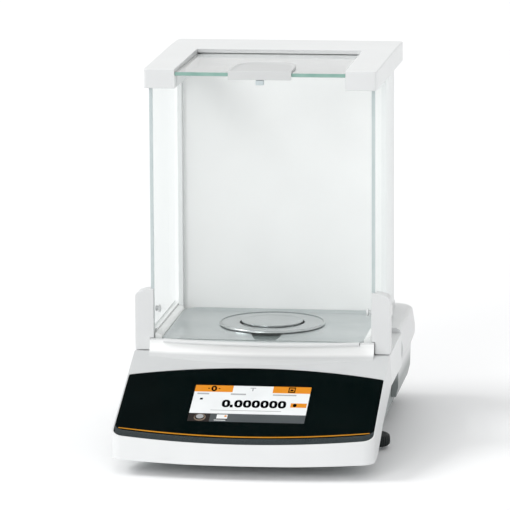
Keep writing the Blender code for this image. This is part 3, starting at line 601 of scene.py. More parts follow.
def build_front_housing():
    front_z = HOUSING_LOW.z
    seam_foot = (-26.0, 50.5)
    skirt = [(-150.0, front_z + 1.0), (-134.0, 15.5), (-118.0, 22.5), (-97.0, 31.0), (-60.0, 42.0),
             seam_foot]
    side = ([(-190.0, front_z)] + skirt
            + [(-41.0, LEDGE_Z), ((LEDGE_Z - FACE_Z0) / SLOPE, LEDGE_Z), (-190.0, FACE_Z0 - SLOPE * 190.0)])
    housing = side_prism("front_housing_shell", side, -115.0, 115.0)
    boolean(housing, prism("plan", front_plan(RIM, 0.0), -5.0, 100.0), operation="INTERSECT")

    stations = [-94.0] + [-SILL_HALF + SILL_HALF * i / 20 for i in range(41)] + [94.0]
    boolean(housing, loft("sill", [sill_section(x) for x in stations]), operation="UNION")

    wall = 3.0
    cavity = ([(-174.0, front_z + wall)] + [(y, z + wall) for y, z in skirt]
              + [(-10.0, seam_foot[1] + 7.0), (-10.0, 71.5), (-47.0, 71.5)]
              + [(-174.0, FACE_Z0 - SLOPE * 174.0 - 6.0)])
    hollow = side_prism("hollow", cavity, -103.6, 103.6)
    boolean(hollow, prism("hollow_plan", front_plan(RIM - wall, 20.0), -5.0, 100.0), operation="INTERSECT")
    boolean(housing, hollow)
    opening = [(-150.4, 0.0), (0.0, 0.0), (0.0, 68.0), (-66.0, 64.0), (-150.4, 30.0)]
    boolean(housing, side_prism("pan_opening", opening, BASE_PAN_LOW.x - 0.3, BASE_PAN_HIGH.x + 0.3))
    edge = [(4.0 * i, front_z + 2.0 * (4.0 * i / HOUSING_HIGH.x) ** 2) for i in range(-28, 29)]
    boolean(housing, front_prism("lower_edge", [(-112.0, 0.0)] + edge + [(112.0, 0.0)], -200.0, -146.0))
    boolean(housing, lean(prism("recess", bezel_plan(0.25), -3.3, 6.0)),
            lean(prism("window", rectangle(-52, 52, -148, -90), -9.0, 0.0)),
            grown_block("glass_groove", GLASS_LOW, GLASS_HIGH, (0.4, 0.3), 86.0, 95.0),
            block("sill_recess", (-82.4, -62.0, 86.4), (82.4, GLASS_LOW.y - 0.2, 95.0)),
            block("tray_seat", (-84.9, GLASS_HIGH.y + 0.2, PLATFORM_Z), (84.9, -30.0, 95.0)))

    def outside(p):
        face_z = FACE_Z0 + SLOPE * p.y
        behind_skirt = p.y > HOUSING_LOW.y + 14.0 and p.z < min(60.0, face_z - 6.0)
        if p.y > -38.0 or abs(p.x) < 99.0 and behind_skirt:
            return False
        return p.z > face_z - 2.5 or abs(p.x) > 104.5 or p.y < front_edge(p.x) - 0.2 or p.z > 74.0

    # Painted light and shade: flat tops take the darker white, and the cove the white that brightens
    # upwards.
    def shade(face):
        height, slope = face.center.z, face.normal.z
        if 50.0 < height < SILL_Z - 2.5 and slope > 0.93:
            return 2
        return 50.0 < height < SILL_Z - 0.8 and (slope > 0.4 or height > 76.0 and slope > -0.5)

    round_edges(housing, 0.7, 3, 26.0, outside)
    mark_faces(housing, shade)
    finish_mesh(housing, [WHITE, LIT_AND_SHADED_RISE, SHADED_SHELL_TOP], BASE, "front_housing")
    build_front_sill()


def build_front_sill():
    """A bowed strip with a lower steel shelf behind it that reaches back to the glass."""
    low, high = node_box("front_sill")
    rear_y, shelf_z = GLASS_LOW.y - 0.3, SILL_Z - 0.5
    rings = []
    for i in range(49):
        x = -high.x + high.x * i / 24
        front = low.y + SILL_BOW - sill_bow(x)
        shelf_y = min(front + 5.6, rear_y - 0.05)
        rings.append([(x, y, z) for y, z in
                      ((front + 0.3, low.z), (rear_y, low.z), (rear_y, shelf_z), (shelf_y, shelf_z),
                       (shelf_y - 0.1, high.z - 0.4), (shelf_y - 0.5, high.z), (front + 1.6, high.z),
                       (front + 0.7, high.z - 0.25), (front + 0.2, high.z - 0.75), (front, high.z - 1.3),
                       (front, low.z + 0.3))])
    sill = loft("front_sill_shell", rings)
    mark_faces(sill, lambda face: face.normal.z > 0.95 and face.center.z < shelf_z + 0.1)
    finish_mesh(sill, [WHITE, TRAY], BASE, "front_sill")


# ---- display
STRIPE_HALF = 102.4     # half length of the accent line
STRIPE_WIDTH = 1.35     # its width in the middle
STRIP = 8.0             # how far the bezel's front edge rolls down
ROLL = 2.1              # and how deep
UNDERSIDE = -3.0        # the bezel's underside, from the display face


def bezel_drop(x, y):
    """How far the bezel's surface has rolled down at (x, y)."""
    near = max(0.0, min(1.0, (y - front_edge(x)) / STRIP))
    side = max(0.0, min(1.0, (BEZEL_HIGH.x - abs(x)) / 1.4))
    back = max(0.0, min(1.0, (bezel_back(x) - y) / 0.8))
    return ROLL * (1 - near) ** 2 + 0.5 * (1 - side) ** 2 + 0.35 * (1 - back) ** 2


def build_bezel():
    rows = [0.0, 0.4, 0.9, 1.6, 2.6, 3.8, 5.2, 6.6, STRIP]
    bm = bmesh.new()
    grid = []
    for x in front_columns(0.0, 60, 10):
        front, back = front_edge(x), bezel_back(x)
        strip_end = min(front + STRIP, back - 4.0)
        span = back - 0.8 - strip_end
        places = [front + r * (strip_end - front) / STRIP for r in rows]
        places += [strip_end + span * i / 14 for i in range(1, 15)] + [back - 0.4, back]
        grid.append([bm.verts.new((x, y, -bezel_drop(x, y))) for y in places])
    for left, right in zip(grid, grid[1:]):
        for i in range(len(left) - 1):
            face = bm.faces.new((left[i], right[i], right[i + 1], left[i + 1]))
            face.material_index = int(i < len(rows) - 1)
    grown = bmesh.ops.extrude_edge_only(bm, edges=[e for e in bm.edges if len(e.link_faces) == 1])
    for item in grown["geom"]:
        if isinstance(item, bmesh.types.BMVert):
            item.co.z = UNDERSIDE
    for face in bm.faces:
        if any(v.co.z < UNDERSIDE + 0.1 for v in face.verts):
            face.material_index = int(min(v.co.y for v in face.verts) < -150)
    bmesh.ops.holes_fill(bm, edges=[e for e in bm.edges if len(e.link_faces) == 1])
    bezel = lean(add_mesh("display_bezel_shell", bm))
    bezel.data.materials.append(BEZEL)
    bezel.data.materials.append(BEZEL_EDGE)
    groove = stripe_plan(STRIPE_HALF + 0.2, STRIPE_WIDTH + 0.4, -0.2)
    boolean(bezel, lean(prism("window", screen_plan(0.15, 1.2), -6.0, 4.0)),
            lean(prism("groove", groove, -0.8, 4.0)))
    finish_mesh(bezel, [BEZEL, BEZEL_EDGE], BASE, "display_bezel")


def screen_plan(grow, radius):
    low, high = SCREEN_LOW, SCREEN_HIGH
    return rounded_rectangle(low.x - grow, high.x + grow, low.y - grow, high.y + grow, [radius] * 4, 5)


def stripe_plan(half, width, shift=0.0):
    """The bowed accent line in plan, thinning to its ends."""
    middle = STRIPE_LOW.y + shift
    xs = [-half + 2 * half * i / 60 for i in range(61)]
    lower = [(x, arc_y(x, half + 0.01, middle, middle + 9.6)) for x in xs]
    upper = [(x, y + width * (1 - 0.35 * abs(x / half) ** 6)) for x, y in reversed(lower)]
    return lower + upper


def flat_piece(name, outlines, material, lift):
    """Thin shapes that lie on the display, joined in one piece; a pair of outlines is a ring."""
    thick = 0.05
    bm = bmesh.new()
    for outline in outlines:
        if len(outline) != 2:
            extrude(bm, [(x, y, 0) for x, y in outline], (0, 0, thick))
            continue
        outer, inner = outline
        rings = [[bm.verts.new((x, y, z)) for x, y in loop] for loop, z in
                 ((outer, 0), (outer, thick), (inner, thick), (inner, 0))]
        bridge(bm, rings + rings[:1])
    finish_mesh(lean(add_mesh(name, bm), lift), material, BASE, None)


def oval(cx, cy, rx, ry, slant=0.0, power=2.0):
    """A closed oval, squarer as power grows."""
    points = []
    for i in range(32):
        c, s = math.cos(math.pi * i / 16), math.sin(math.pi * i / 16)
        x = rx * math.copysign(abs(c) ** (2 / power), c)
        y = ry * math.copysign(abs(s) ** (2 / power), s)
        points.append((cx + x + slant * y, cy + y))
    return points


def centred(place, half_wide, half_deep):
    """A rectangle round a place."""
    return rectangle(place[0] - half_wide, place[0] + half_wide, place[1] - half_deep, place[1] + half_deep)


def build_screen():
    glass = lean(prism("touch_glass_shell", screen_plan(0.0, 1), -1.8, -0.12))
    finish_mesh(glass, BEZEL, BASE, "touch_glass")

    low, high = SCREEN_LOW, SCREEN_HIGH
    wide, deep = high.x - low.x, high.y - low.y
    first_layer, second_layer, top_layer = -0.12, -0.06, 0.0

    def place(u, v):
        """From shares of the display, across from the left and up from its near edge, to plan."""
        return low.x + u * wide, low.y + v * deep

    def patch(u0, u1, v0, v1):
        (x0, y0), (x1, y1) = place(u0, v0), place(u1, v1)
        return rectangle(x0, x1, y0, y1)

    edge, far_edge = 0.006, 0.994
    bar_top, keys_low = 0.225, 0.815
    flat_piece("display_page", [patch(edge, far_edge, bar_top, far_edge)], PAGE, first_layer)
    keys = [patch(edge, 0.330, keys_low, far_edge), patch(0.672, far_edge, keys_low, far_edge),
            patch(0.848, 0.984, 0.430, 0.545)]
    flat_piece("display_keys", keys, KEY, second_layer)
    flat_piece("display_bar", [patch(0.190, far_edge, edge, bar_top)], BAR, first_layer)
    flat_piece("display_bar_corner", [patch(edge, 0.190, edge, bar_top)], BAR_DARK, first_layer)

    first_x, digit_low = place(0.299, 0.398)
    digit_high = place(0.299, 0.602)[1]
    digit_y, digit_ry = (digit_low + digit_high) / 2, (digit_high - digit_low) / 2
    pitch = 0.0742 * wide
    digit_rx = pitch * 0.475
    slant = -0.045
    digits = []
    for cx in [first_x] + [first_x + pitch * (1.42 + i) for i in range(6)]:
        digits.append([oval(cx, digit_y, digit_rx, digit_ry, slant, 2.5),
                       oval(cx, digit_y, digit_rx * 0.30, digit_ry * 0.52, slant, 2.3)])
    dot_x = first_x + pitch * 0.66
    digits.append(rectangle(dot_x - 1.2, dot_x + 1.2, digit_low, digit_low + 3.8, slant))
    flat_piece("display_digits", digits, INK, second_layer)

    kx, ky = place(0.168, 0.905)
    tx, ty = place(0.833, 0.905)
    ux, uy = place(0.292, 0.125)
    marks = [[oval(kx, ky, 2.4, 4.0, slant), oval(kx, ky, 0.8, 2.1, slant)],
             rectangle(kx - 5.0, kx - 3.6, ky - 0.6, ky + 0.6),
             rectangle(kx + 3.6, kx + 5.0, ky - 0.6, ky + 0.6),
             [centred((tx, ty), 2.9, 3.8), centred((tx, ty), 2.0, 2.4)],
             rectangle(tx - 1.3, tx + 1.3, ty - 1.5, ty + 0.9),
             oval(*place(0.884, 0.487), 1.6, 2.4),
             centred(place(0.080, 0.615), 1.2, 1.2),
             rectangle(ux - 3.8, ux + 4.4, uy - 3.2, uy - 2.2)]
    flat_piece("display_marks", marks, INK, top_layer)

    cx, cy = place(0.5, 0.905)
    faint = [rectangle(cx - 2.4, cx + 2.4, cy + 1.2, cy + 2.2),
             rectangle(cx - 0.5, cx + 0.5, cy - 2.6, cy + 1.2)]
    for u0, u1, v, half_thick in ((0.035, 0.135, 0.76, 1.0), (0.320, 0.450, 0.76, 1.0),
                                  (0.680, 0.880, 0.76, 0.9), (0.180, 0.780, 0.315, 0.35)):
        (x0, y0), (x1, _) = place(u0, v), place(u1, v)
        faint.append(rectangle(x0, x1, y0 - half_thick, y0 + half_thick))
    flat_piece("display_faint_lines", faint, INK_GREY, second_layer)

    ax, ay = place(0.105, 0.115)
    arc = [oval(ax, ay, 4.8, 5.0), oval(ax - 0.3, ay + 0.5, 4.1, 4.0)]
    flat_piece("display_arc", [arc], INK_TAN, second_layer)
    flat_piece("display_lens", [oval(ax - 0.1, ay + 1.2, 3.1, 3.0)], INK_GREY, second_layer)
    flat_piece("display_icon_dot", [oval(ux + 2.8, uy + 1.6, 1.1, 1.2)], KEY, top_layer)
    icon = [rectangle(ux - 4.4, ux + 4.4, uy - 2.0, uy + 3.8),
            rectangle(ux - 6.0, ux + 3.4, uy - 4.6, uy - 3.7)]
    flat_piece("display_icon", icon, PAGE, second_layer)

    line = lean(prism("accent_strip_shell", stripe_plan(STRIPE_HALF, STRIPE_WIDTH), -0.7, 0.06))
    finish_mesh(line, ORANGE, BASE, "accent_strip")


# ---- side panels
def build_side_panels():
    low, high = PANEL_LOW, PANEL_HIGH
    section = [(high.x - 2.8, low.z), (high.x, low.z), (high.x, high.z - 0.1), (high.x - 0.9, high.z),
               (low.x, high.z), (low.x, high.z - 2.6), (high.x - 2.8, high.z - 2.6)]
    panel = front_prism("right_side_panel_shell", section, -50.0, high.y - 0.5)
    seam_y = -39.9
    lean_y = 15.0 / (LEDGE_Z - 50.5)
    wedge = [(-60.0, 40.0), (seam_y + lean_y * (LEDGE_Z - 40.0), 40.0), (seam_y, LEDGE_Z),
             (seam_y - lean_y * 12.0, 90.0), (-60.0, 90.0)]
    boolean(panel, side_prism("seam", wedge, 90.0, 115.0))
    round_edges(panel, 0.45, 3)
    # Painted light: the side panels are drawn in the lighter copy of the white plastic.
    pair(panel, PAINTED_LIT_WHITE, "side_panel")


# ---- rear housing
def build_rear_housing():
    half, back = REAR_HIGH.x, REAR_HIGH.y
    side = rounded_profile([(102.0, 22.0), (104.0, 30.0), (104.6, 49.0), (half, 58.5), (half, 66.0),
                            (half - 2.2, 80.5), (half - 5.5, SHOULDER_Z)], [0, 8, 9, 5, 10, 2.5, 0], 6)
    rings = []
    for x, z in side:
        inset = half - x
        radius = max(9.0, 15.0 - inset * 0.5)
        rings.append([(px, py, z) for px, py in
                      rounded_rectangle(-x, x, SEAM_Y, back - inset, (0.6, 0.6, radius, radius), 12)])
    housing = loft("rear_housing_shell", rings)
    boolean(housing, block("deck", (-94.2, REAR_LOW.y, 79.6), (94.2, SEAM_Y + 2.0, SHOULDER_Z - 0.02)),
            block("platform", (COLUMN_LOW.x, REAR_LOW.y, 81.0),
                  (COLUMN_HIGH.x, COLUMN_HIGH.y + 2.0, PLATFORM_Z)),
            operation="UNION")
    wall = 3.0
    inner = []
    for z, x, y in ((20.0, 99.0, 168.5), (47.0, 101.0, 172.0), (57.5, 105.0, back - wall),
                    (70.0, 104.5, back - wall), (SHOULDER_Z - wall, 102.6, back - wall - 1.5)):
        plan = rounded_rectangle(-x, x, SEAM_Y + wall, y, (1, 1, 11, 11), 6)
        inner.append([(px, py, z) for px, py in plan])
    boolean(housing, loft("hollow", inner),
            block("pan_passage", (BASE_PAN_LOW.x - 0.3, SEAM_Y - 5.0, 10.0),
                  (BASE_PAN_HIGH.x + 0.3, SEAM_Y + 10.0, 62.5)),
            block("deck_hollow", (-87.4, REAR_LOW.y + wall, 60.0),
                  (87.4, COLUMN_HIGH.y - 1.0, PLATFORM_Z - wall)),
            prism("stem_hole", corner(0, PAN_Y, 15.0, 0, 360 - 360 / 48, 48), 70.0, 95.0),
            block("connector_opening", (-70.0, 165.0, 30.0), (70.0, 185.0, 68.0)))

    def outside(p):
        top = p.z > SHOULDER_Z - 0.6
        front = abs(p.y - SEAM_Y) < 0.4 and abs(p.x) > 98.6
        rear = p.y > 171.0 and abs(p.x) < 71.0 and 29.0 < p.z < 69.0
        return (top or front or rear) and (abs(p.x) > 15.5 or abs(p.y - PAN_Y) > 15.5)

    round_edges(housing, 0.55, 3, 40.0, outside)
    # Painted light and shade: the rear housing's upward faces take the lighter copy of the white, and the
    # rest take the white that darkens towards the foot.
    mark_faces(housing, lambda face: face.normal.z > 0.6)
    finish_mesh(housing, [SHADE_FADED_SIDE, PAINTED_LIT_WHITE], BASE, "rear_housing")


def build_base_pan():
    low, high = BASE_PAN_LOW, BASE_PAN_HIGH
    outline = rounded_rectangle(low.x, high.x, low.y, high.y, (8, 8, 12, 12), 10)
    pan = prism("base_pan_shell", outline, low.z, high.z)
    inner = rounded_rectangle(low.x + 3, high.x - 3, low.y + 3, high.y - 3, (6, 6, 10, 10), 8)
    clear = [(low.y - 10.0, 26.0), (-70.0, high.z), (-70.0, high.z + 18.0), (low.y - 10.0, high.z + 18.0)]
    boolean(pan, prism("hollow", inner, low.z + 3, high.z + 18), side_prism("slope", clear, -110.0, 110.0),
            block("connector_gap", (-72.0, 150.0, 27.0), (72.0, 175.0, 80.0)))
    round_edges(pan, 1.2, 3, 40.0, lambda p: p.z < low.z + 0.5)
    # Painted shade: dark grey for the shade under the body.
    finish_mesh(pan, SHADED_SKIRT, BASE, "base_pan")


# ---- feet
def build_feet():
    for side in ("left", "right"):
        low, high = node_box(side + "_foot_wheel")
        centre = (low + high) / 2
        wheel = grip_wheel(side + "_foot_wheel_shell", centre, (high.x - low.x) / 2, low.z, high.z)
        finish_mesh(wheel, BLACK, side + "_wheel", side + "_foot_wheel")
        top = node_box(side + "_foot_screw")[1].z
        screw = turned(side + "_foot_screw_shell", thread_profile(top), centre, 40)
        finish_mesh(screw, STEEL, side + "_foot", side + "_foot_screw")
        low, high = node_box(side + "_rear_foot")
        profile = [(0, 14.7), (9.0, 14.7), (9.6, 13.4), (10.7, 9.4), (11.0, 8.2), (11.0, 1.2), (10.7, 0.4),
                   (10.0, 0.0), (7.0, 0.0), (6.6, 0.5), (0, 0.5)]
        foot = turned(side + "_rear_foot_shell", profile, (low + high) / 2, 48)
        finish_mesh(foot, RUBBER, BASE, side + "_rear_foot")


def grip_wheel(name, centre, radius, z0, z1):
    """A hand wheel with shallow flutes round its rim."""
    flutes, depth = 36, 0.45
    profile = [(3.4, z0), (radius - 3.0, z0), (radius - 1.2, z0 + 0.5, 0.3), (radius - 0.3, z0 + 1.6, 1.0),
               (radius, z0 + 2.8, 1.0), (radius, z1 - 3.2, 1.0), (radius - 0.4, z1 - 1.6, 1.0),
               (radius - 1.4, z1 - 0.5, 0.3), (radius - 3.2, z1), (6.0, z1), (5.4, z1 - 0.8),
               (3.4, z1 - 0.8)]
    return turned(name, profile, centre, flutes * 6,
                  lambda angle: depth * (0.5 - 0.5 * math.cos(flutes * angle)) ** 2)


def thread_profile(top):
    """Foot pad and a ridged shank, from the top down the outer side."""
    profile = [(0.0, top), (2.2, top), (2.6, top - 0.6)]
    z = top - 1.2
    while z > 4.0:
        profile += [(3.0, z), (2.6, z - 0.5)]
        z -= 1.0
    return profile + [(3.0, 2.2), (9.4, 2.2), (9.9, 1.9), (10.0, 1.4), (10.0, 0.5), (9.6, 0.0), (0.0, 0.0)]


# ---- chamber floor, ring and pan
def build_floor():
    base_z = TRAY_LOW.z
    floor_z = base_z + 0.7
    front_y = GLASS_HIGH.y + 0.4
    tray = tray_shell(floor_z, front_y)
    hole = prism("hole", corner(0, PAN_Y, 13.6, 0, 352.5, 48), 80.0, 95.0)
    high_z = TRAY_HIGH.z
    collar_profile = [(13.2, high_z), (14.0, high_z), (14.6, high_z - 0.3), (16.4, base_z + 0.9),
                      (17.0, base_z + 0.5), (17.0, base_z + 0.2), (13.2, base_z + 0.2)]
    cone_profile = [(41.0, 1.85), (44.2, 1.85), (45.4, 1.75), (47.5, 1.35), (50.5, 0.85), (54.0, 0.45),
                    (58.0, 0.2), (63.0, 0.06), (68.0, 0.01), (68.0, -0.2), (41.0, -0.2)]
    cone = turned("cone", [(radius, floor_z + rise) for radius, rise in cone_profile], (0, PAN_Y))
    boolean(cone, block("cone_trim", (-90.0, -60.0, 80.0), (90.0, front_y + 0.6, 95.0)))
    boolean(boolean(tray, hole), turned("collar", collar_profile, (0, PAN_Y), 64), cone, operation="UNION")

    def notch_plan(shrink, radius):
        """The tapered notch in front of the ring."""
        near, far = front_y + 0.9 + shrink, front_y + 24.9 - shrink
        corners = [(-6.5 + shrink, near), (10.5 - shrink, near),
                   (15.0 - 1.5 * shrink, far), (-14.0 + 1.5 * shrink, far)]
        return rounded_profile(corners, [radius, radius, 0.0, 0.0], 5)

    boolean(tray, prism("notch", notch_plan(0.0, 2.5), floor_z - 0.35, 95.0))
    finish_mesh(tray, TRAY, BASE, "chamber_tray")

    kerb_corners = [(84.9, base_z), (90.7, base_z), (90.7, 92.8), (88.6, 92.4), (86.0, 91.2), (84.9, 90.0)]
    kerb = rounded_profile(kerb_corners, [0, 0, 0.8, 1.5, 1.5, 0.6])
    trim = front_prism("right_tray_trim", kerb, front_y, COLUMN_LOW.y - 0.3)
    for piece in (trim, mirrored(trim, "left_tray_trim")):
        finish_mesh(piece, WALL, BASE, None)
    lining = prism("tray_notch", notch_plan(0.2, 2.4), floor_z - 0.34, floor_z - 0.1)
    finish_mesh(lining, NOTCH_GREY_AND_RIM_REFLECTION, BASE, None)
    build_ring_and_pan()


def tray_shell(floor_z, front_y):
    """The steel floor: flat in the middle, with a low lip that rolls over at the sides and the rear."""
    low, high = TRAY_LOW, TRAY_HIGH
    rings = []
    for inset, rise, radius in ((0.0, -0.7, 13.0), (0.0, 1.5, 13.0), (0.15, 1.85, 13.0), (0.6, 2.0, 12.8),
                                (1.3, 1.95, 12.4), (2.4, 1.7, 11.6), (3.8, 1.2, 10.6), (5.4, 0.65, 9.6),
                                (7.2, 0.25, 8.6), (9.2, 0.05, 7.8), (11.0, 0.0, 7.0)):
        plan = rounded_rectangle(low.x + inset, high.x - inset, front_y + 0.05 * inset, high.y - inset * 0.6,
                                 (1.0, 1.0, radius, radius), 10)
        ring = []
        for x, y in plan:
            near = min(1.0, max(0.0, (y - front_y) / 3.0)) if rise > 0 else 1.0
            ring.append((x, y, floor_z + rise * near))
        rings.append(ring)
    return loft("chamber_tray_shell", rings)


def build_ring_and_pan():
    """Both are turned about the pan's axis, from (radius, depth below the top) points."""
    outer, under = RING_HIGH.x, RING_HIGH.z - RING_LOW.z
    profile = [(27.6, 0.75), (27.75, 0.6), (28.1, 0.55), (42.7, 0.55), (42.95, 0.5), (43.3, 0.05),
               (43.6, 0.0), (44.1, 0.1), (44.7, 0.6), (outer, 1.1), (outer, 1.9), (44.5, 2.3), (40.6, 2.3),
               (39.6, under), (37.5, under), (36.8, 2.0), (28.0, 1.6), (27.6, 1.3)]
    ring = turned("draft_ring_shell", [(r, RING_HIGH.z - depth) for r, depth in profile], (0, PAN_Y), 128)

    # Painted reflection: the inner face of the ring's raised rim is drawn dark grey, for the dark things it
    # mirrors.
    def painted_reflection_rim(face):
        flat = Vector((face.center.x, face.center.y - PAN_Y))
        return flat.length > 42.0 and flat.normalized().dot(face.normal.to_2d()) < -0.5

    finish_mesh(mark_faces(ring, painted_reflection_rim), [STEEL, NOTCH_GREY_AND_RIM_REFLECTION], BASE, "draft_ring")

    outer, under = PAN_HIGH.x, PAN_HIGH.z - PAN_LOW.z
    profile = [(0.0, 0.5), (20.0, 0.5), (23.6, 0.47), (24.3, 0.3), (24.8, 0.05), (25.2, 0.0), (25.7, 0.15),
               (outer, 0.45), (outer, 1.4), (outer - 0.2, 1.8), (outer - 0.9, under), (0.0, under)]
    pan = turned("weighing_pan_shell", [(r, PAN_HIGH.z - depth) for r, depth in profile], (0, PAN_Y), 128)
    finish_mesh(pan, STEEL, "pan", "weighing_pan")


# ---- column and back wall
def build_column():
    low, high = COLUMN_LOW, COLUMN_HIGH
    outline = rounded_rectangle(low.x, high.x, low.y, high.y, (0.9, 0.9, 6, 6), 8)
    column = prism("column_shell", outline, low.z, high.z)
    inner = rounded_rectangle(-87.6, 87.6, 99.9, high.y - 2.8, (1, 1, 4, 4), 6)
    boolean(column, block("wall_recess", (-86.25, 80.0, 80.0), (86.25, 97.2, 305.0)),
            prism("hollow", inner, 80.0, high.z - 3.0))
    round_edges(column, 0.25, 2, 40.0, lambda p: p.y < 97.6 and abs(p.x) > 86.0)
    # Painted light: the column is drawn in the lighter copy of the white plastic.
    finish_mesh(column, PAINTED_LIT_WHITE, BASE, "column")
    wall_low, wall_high = node_box("back_wall")
    wall = block("back_wall_shell", wall_low, wall_high)
    round_edges(wall, 0.25, 2, 40.0)
    finish_mesh(wall, WALL, BASE, "back_wall")


# ---- top frame
def build_top_frame():
    low, high = FRAME_LOW, FRAME_HIGH
    front_half = high.x - 1.6
    near, far = 2.5, 16                                 # radii of the front and the rear corners
    plan = (corner(-front_half + near, low.y + near, near, 180, 270, 7)
            + corner(front_half - near, low.y + near, near, 270, 360, 7)
            + corner(high.x - far, high.y - far, far, 0, 90, 16)
            + corner(low.x + far, high.y - far, far, 90, 180, 16))
    top = FRAME_TOP
    profile = [(low.y - 5.0, low.z), (high.y + 5.0, low.z), (high.y + 5.0, top - 2.0),
               (high.y - 3.0, top - 0.4), (high.y - 9.0, top + 0.7), (high.y - 30.0, top + 1.3),
               (HATCH_BACK + 20.0, top + 1.6),
               (HATCH_BACK, top + 1.45), (HATCH_BACK - 40.0, top + 0.9), (low.y - 5.0, top)]
    made = side_prism("top_frame_shell", profile, low.x - 5, high.x + 5)
    boolean(made, prism("plan", plan, low.z - 5, high.z + 10), operation="INTERSECT")
    round_edges(made, 1.3, 4, 40.0)
    glass_z = TOP_GLASS_LOW.z
    half = HATCH_HALF
    boolean(made, block("hatch", (-half, low.y - 10, glass_z - 0.4), (half, HATCH_BACK, 330.0)),
            block("slot", (-half, 60.0, glass_z - 0.4), (half, high.y - 5.0, glass_z + 3.5)),
            block("mouth", (-half + 0.2, low.y - 10, 290.0), (half - 0.2, HATCH_BACK + 4.0, 307.4)),
            block("mouth_front", (-half + 0.2, low.y - 10, 300.0), (half - 0.2, -14.0, 312.0)),
            block("mouth_rear", (-66.5, -20.0, 300.0), (66.5, HATCH_BACK + 4.0, 312.0)),
            grown_block("glass_slot", GLASS_LOW, GLASS_HIGH, (0.4, 0.3), 290.0, 310.0))
    for side in (-1, 1):
        x0, x1 = sorted((side * (PANE_LOW.x - 0.4), side * (PANE_HIGH.x + 0.5)))
        boolean(made, block("groove", (x0, GLASS_HIGH.y, 290.0), (x1, high.y + 5.0, 305.4)))

    def rim(p):
        beside = abs(abs(p.x) - half) < 0.5 and p.z > glass_z
        return beside or abs(p.y - HATCH_BACK) < 0.4 and p.z > glass_z + 3

    round_edges(made, 0.5, 3, 50.0, rim)
    # Painted light: the frame's tops and side faces take the lighter copy of the white; its front faces keep
    # the plain white.
    mark_faces(made, lambda face: face.normal.z > 0.6 or abs(face.normal.x) > 0.7)
    finish_mesh(made, [WHITE, PAINTED_LIT_WHITE], BASE, "top_frame")


# ---- glass
def pane(name, low, high, edge, body, node, clear=GLASS):
    """A flat glass with ground edges; its front edge shows the glass's own colour."""
    made = round_edges(block(name, low, high), 0.35, 2, 40.0)
    faces_front = high.y - low.y < min(high.x - low.x, high.z - low.z)
    mark_faces(made, lambda face: not faces_front and face.normal.y < -0.3)
    finish_mesh(made, [clear, edge], body, node, smooth=60.0)


def build_glass():
    pane("front_glass_pane", GLASS_LOW, GLASS_HIGH, PALE_EDGE, BASE, "front_glass")
    pane("right_pane_glass", PANE_LOW, PANE_HIGH, PALE_EDGE, "right_door", "right_pane")
    pane("left_pane_glass", *node_box("left_pane"), PALE_EDGE, "left_door", "left_pane")
    pane("top_glass_pane", TOP_GLASS_LOW, TOP_GLASS_HIGH, GREEN_EDGE, "top_door", "top_glass", TOP_GLASS)


# ---- side doors
def build_doors():
    low, high = RUNNER_LOW, RUNNER_HIGH
    corners = [(low.x, low.z), (high.x, low.z), (high.x, high.z - 0.6), (high.x - 0.7, high.z),
               (high.x - 0.7, 94.1), (low.x + 0.1, 94.1), (low.x, 94.0)]
    section = rounded_profile(corners, [0.4, 0.4, 0.3, 0.2, 0, 0, 0])
    runner = front_prism("right_door_runner_shell", section, low.y, high.y)
    round_edges(runner, 0.25, 2, 50.0)
    pair(runner, WALL, "door_runner", "door")

    low, high = node_box("right_door_rail")
    profile = rounded_profile(rectangle(low.x, high.x, low.z, high.z), 0.5, 3)
    rail = front_prism("right_door_rail_shell", profile, low.y, high.y)
    pair(rail, WHITE, "door_rail", None)

    low, high = HANDLE_LOW, HANDLE_HIGH
    split = PANE_HIGH.x + 0.3
    corners = [(split, low.z), (high.x, low.z), (high.x, high.z - 4.7), (high.x - 3.0, high.z - 2.3),
               (split + 4.5, high.z - 0.65), (split, high.z - 0.3)]
    outline = rounded_profile(corners, [0.5, 1.2, 5.0, 3.0, 6.0, 0.0], 6)
    handle = front_prism("right_door_handle_shell", outline, low.y, high.y)
    flange = [(low.x, SILL_Z + 0.3), (split + 1.0, SILL_Z + 0.3), (split + 1.0, high.z - 0.38),
              (split, high.z - 0.3), (low.x, high.z)]
    boolean(handle, front_prism("flange", flange, low.y, low.y + 4.4), operation="UNION")
    corners = [(split + 3.0, low.z + 3.4), (high.x - 2.8, low.z + 3.4), (high.x - 2.8, high.z - 8.3),
               (high.x - 6.0, high.z - 5.8), (split + 3.0, high.z - 4.1)]
    boolean(handle, front_prism("relief", rounded_profile(corners, 1.5, 4), low.y + 3.4, high.y + 8.0))
    round_edges(handle, 0.6, 3, 50.0)
    pair(handle, WHITE, "door_handle", "door")

    low, high = node_box("right_door_knob")
    cy, cz, r = (low.y + high.y) / 2, (low.z + high.z) / 2, (high.y - low.y) / 2
    profile = [(0, high.x), (r * 0.75, high.x), (r * 0.78, high.x - 1.0), (r * 0.6, high.x - 1.6),
               (r * 0.6, high.x - 2.2), (r, low.x + 1.7), (r, low.x + 0.7), (r - 0.5, low.x + 0.15),
               (r - 1.0, low.x), (0, low.x)]
    knob = turned("right_door_knob_shell", profile, (0, 0), 40)
    knob.data.transform(Matrix.Translation((0, cy, cz)) @ Matrix.Rotation(math.pi / 2, 4, "Y"))
    pair(knob, WHITE, "door_knob", "door")


# ---- top door
def tab_plan(shrink):
    """The D-shaped grip: straight at the front and round behind."""
    half = TAB_HIGH.x - shrink
    front = TAB_LOW.y + shrink
    back = TAB_HIGH.y - shrink
    straight = 24.0
    rear = []
    for i in range(49):
        across, along = math.cos(math.pi * i / 48), math.sin(math.pi * i / 48)
        x = half * math.copysign(abs(across) ** 0.42, across)
        rear.append((x, front + straight + (back - front - straight) * max(0.0, along) ** 0.85))
    return [(-half, front), (half, front)] + rear


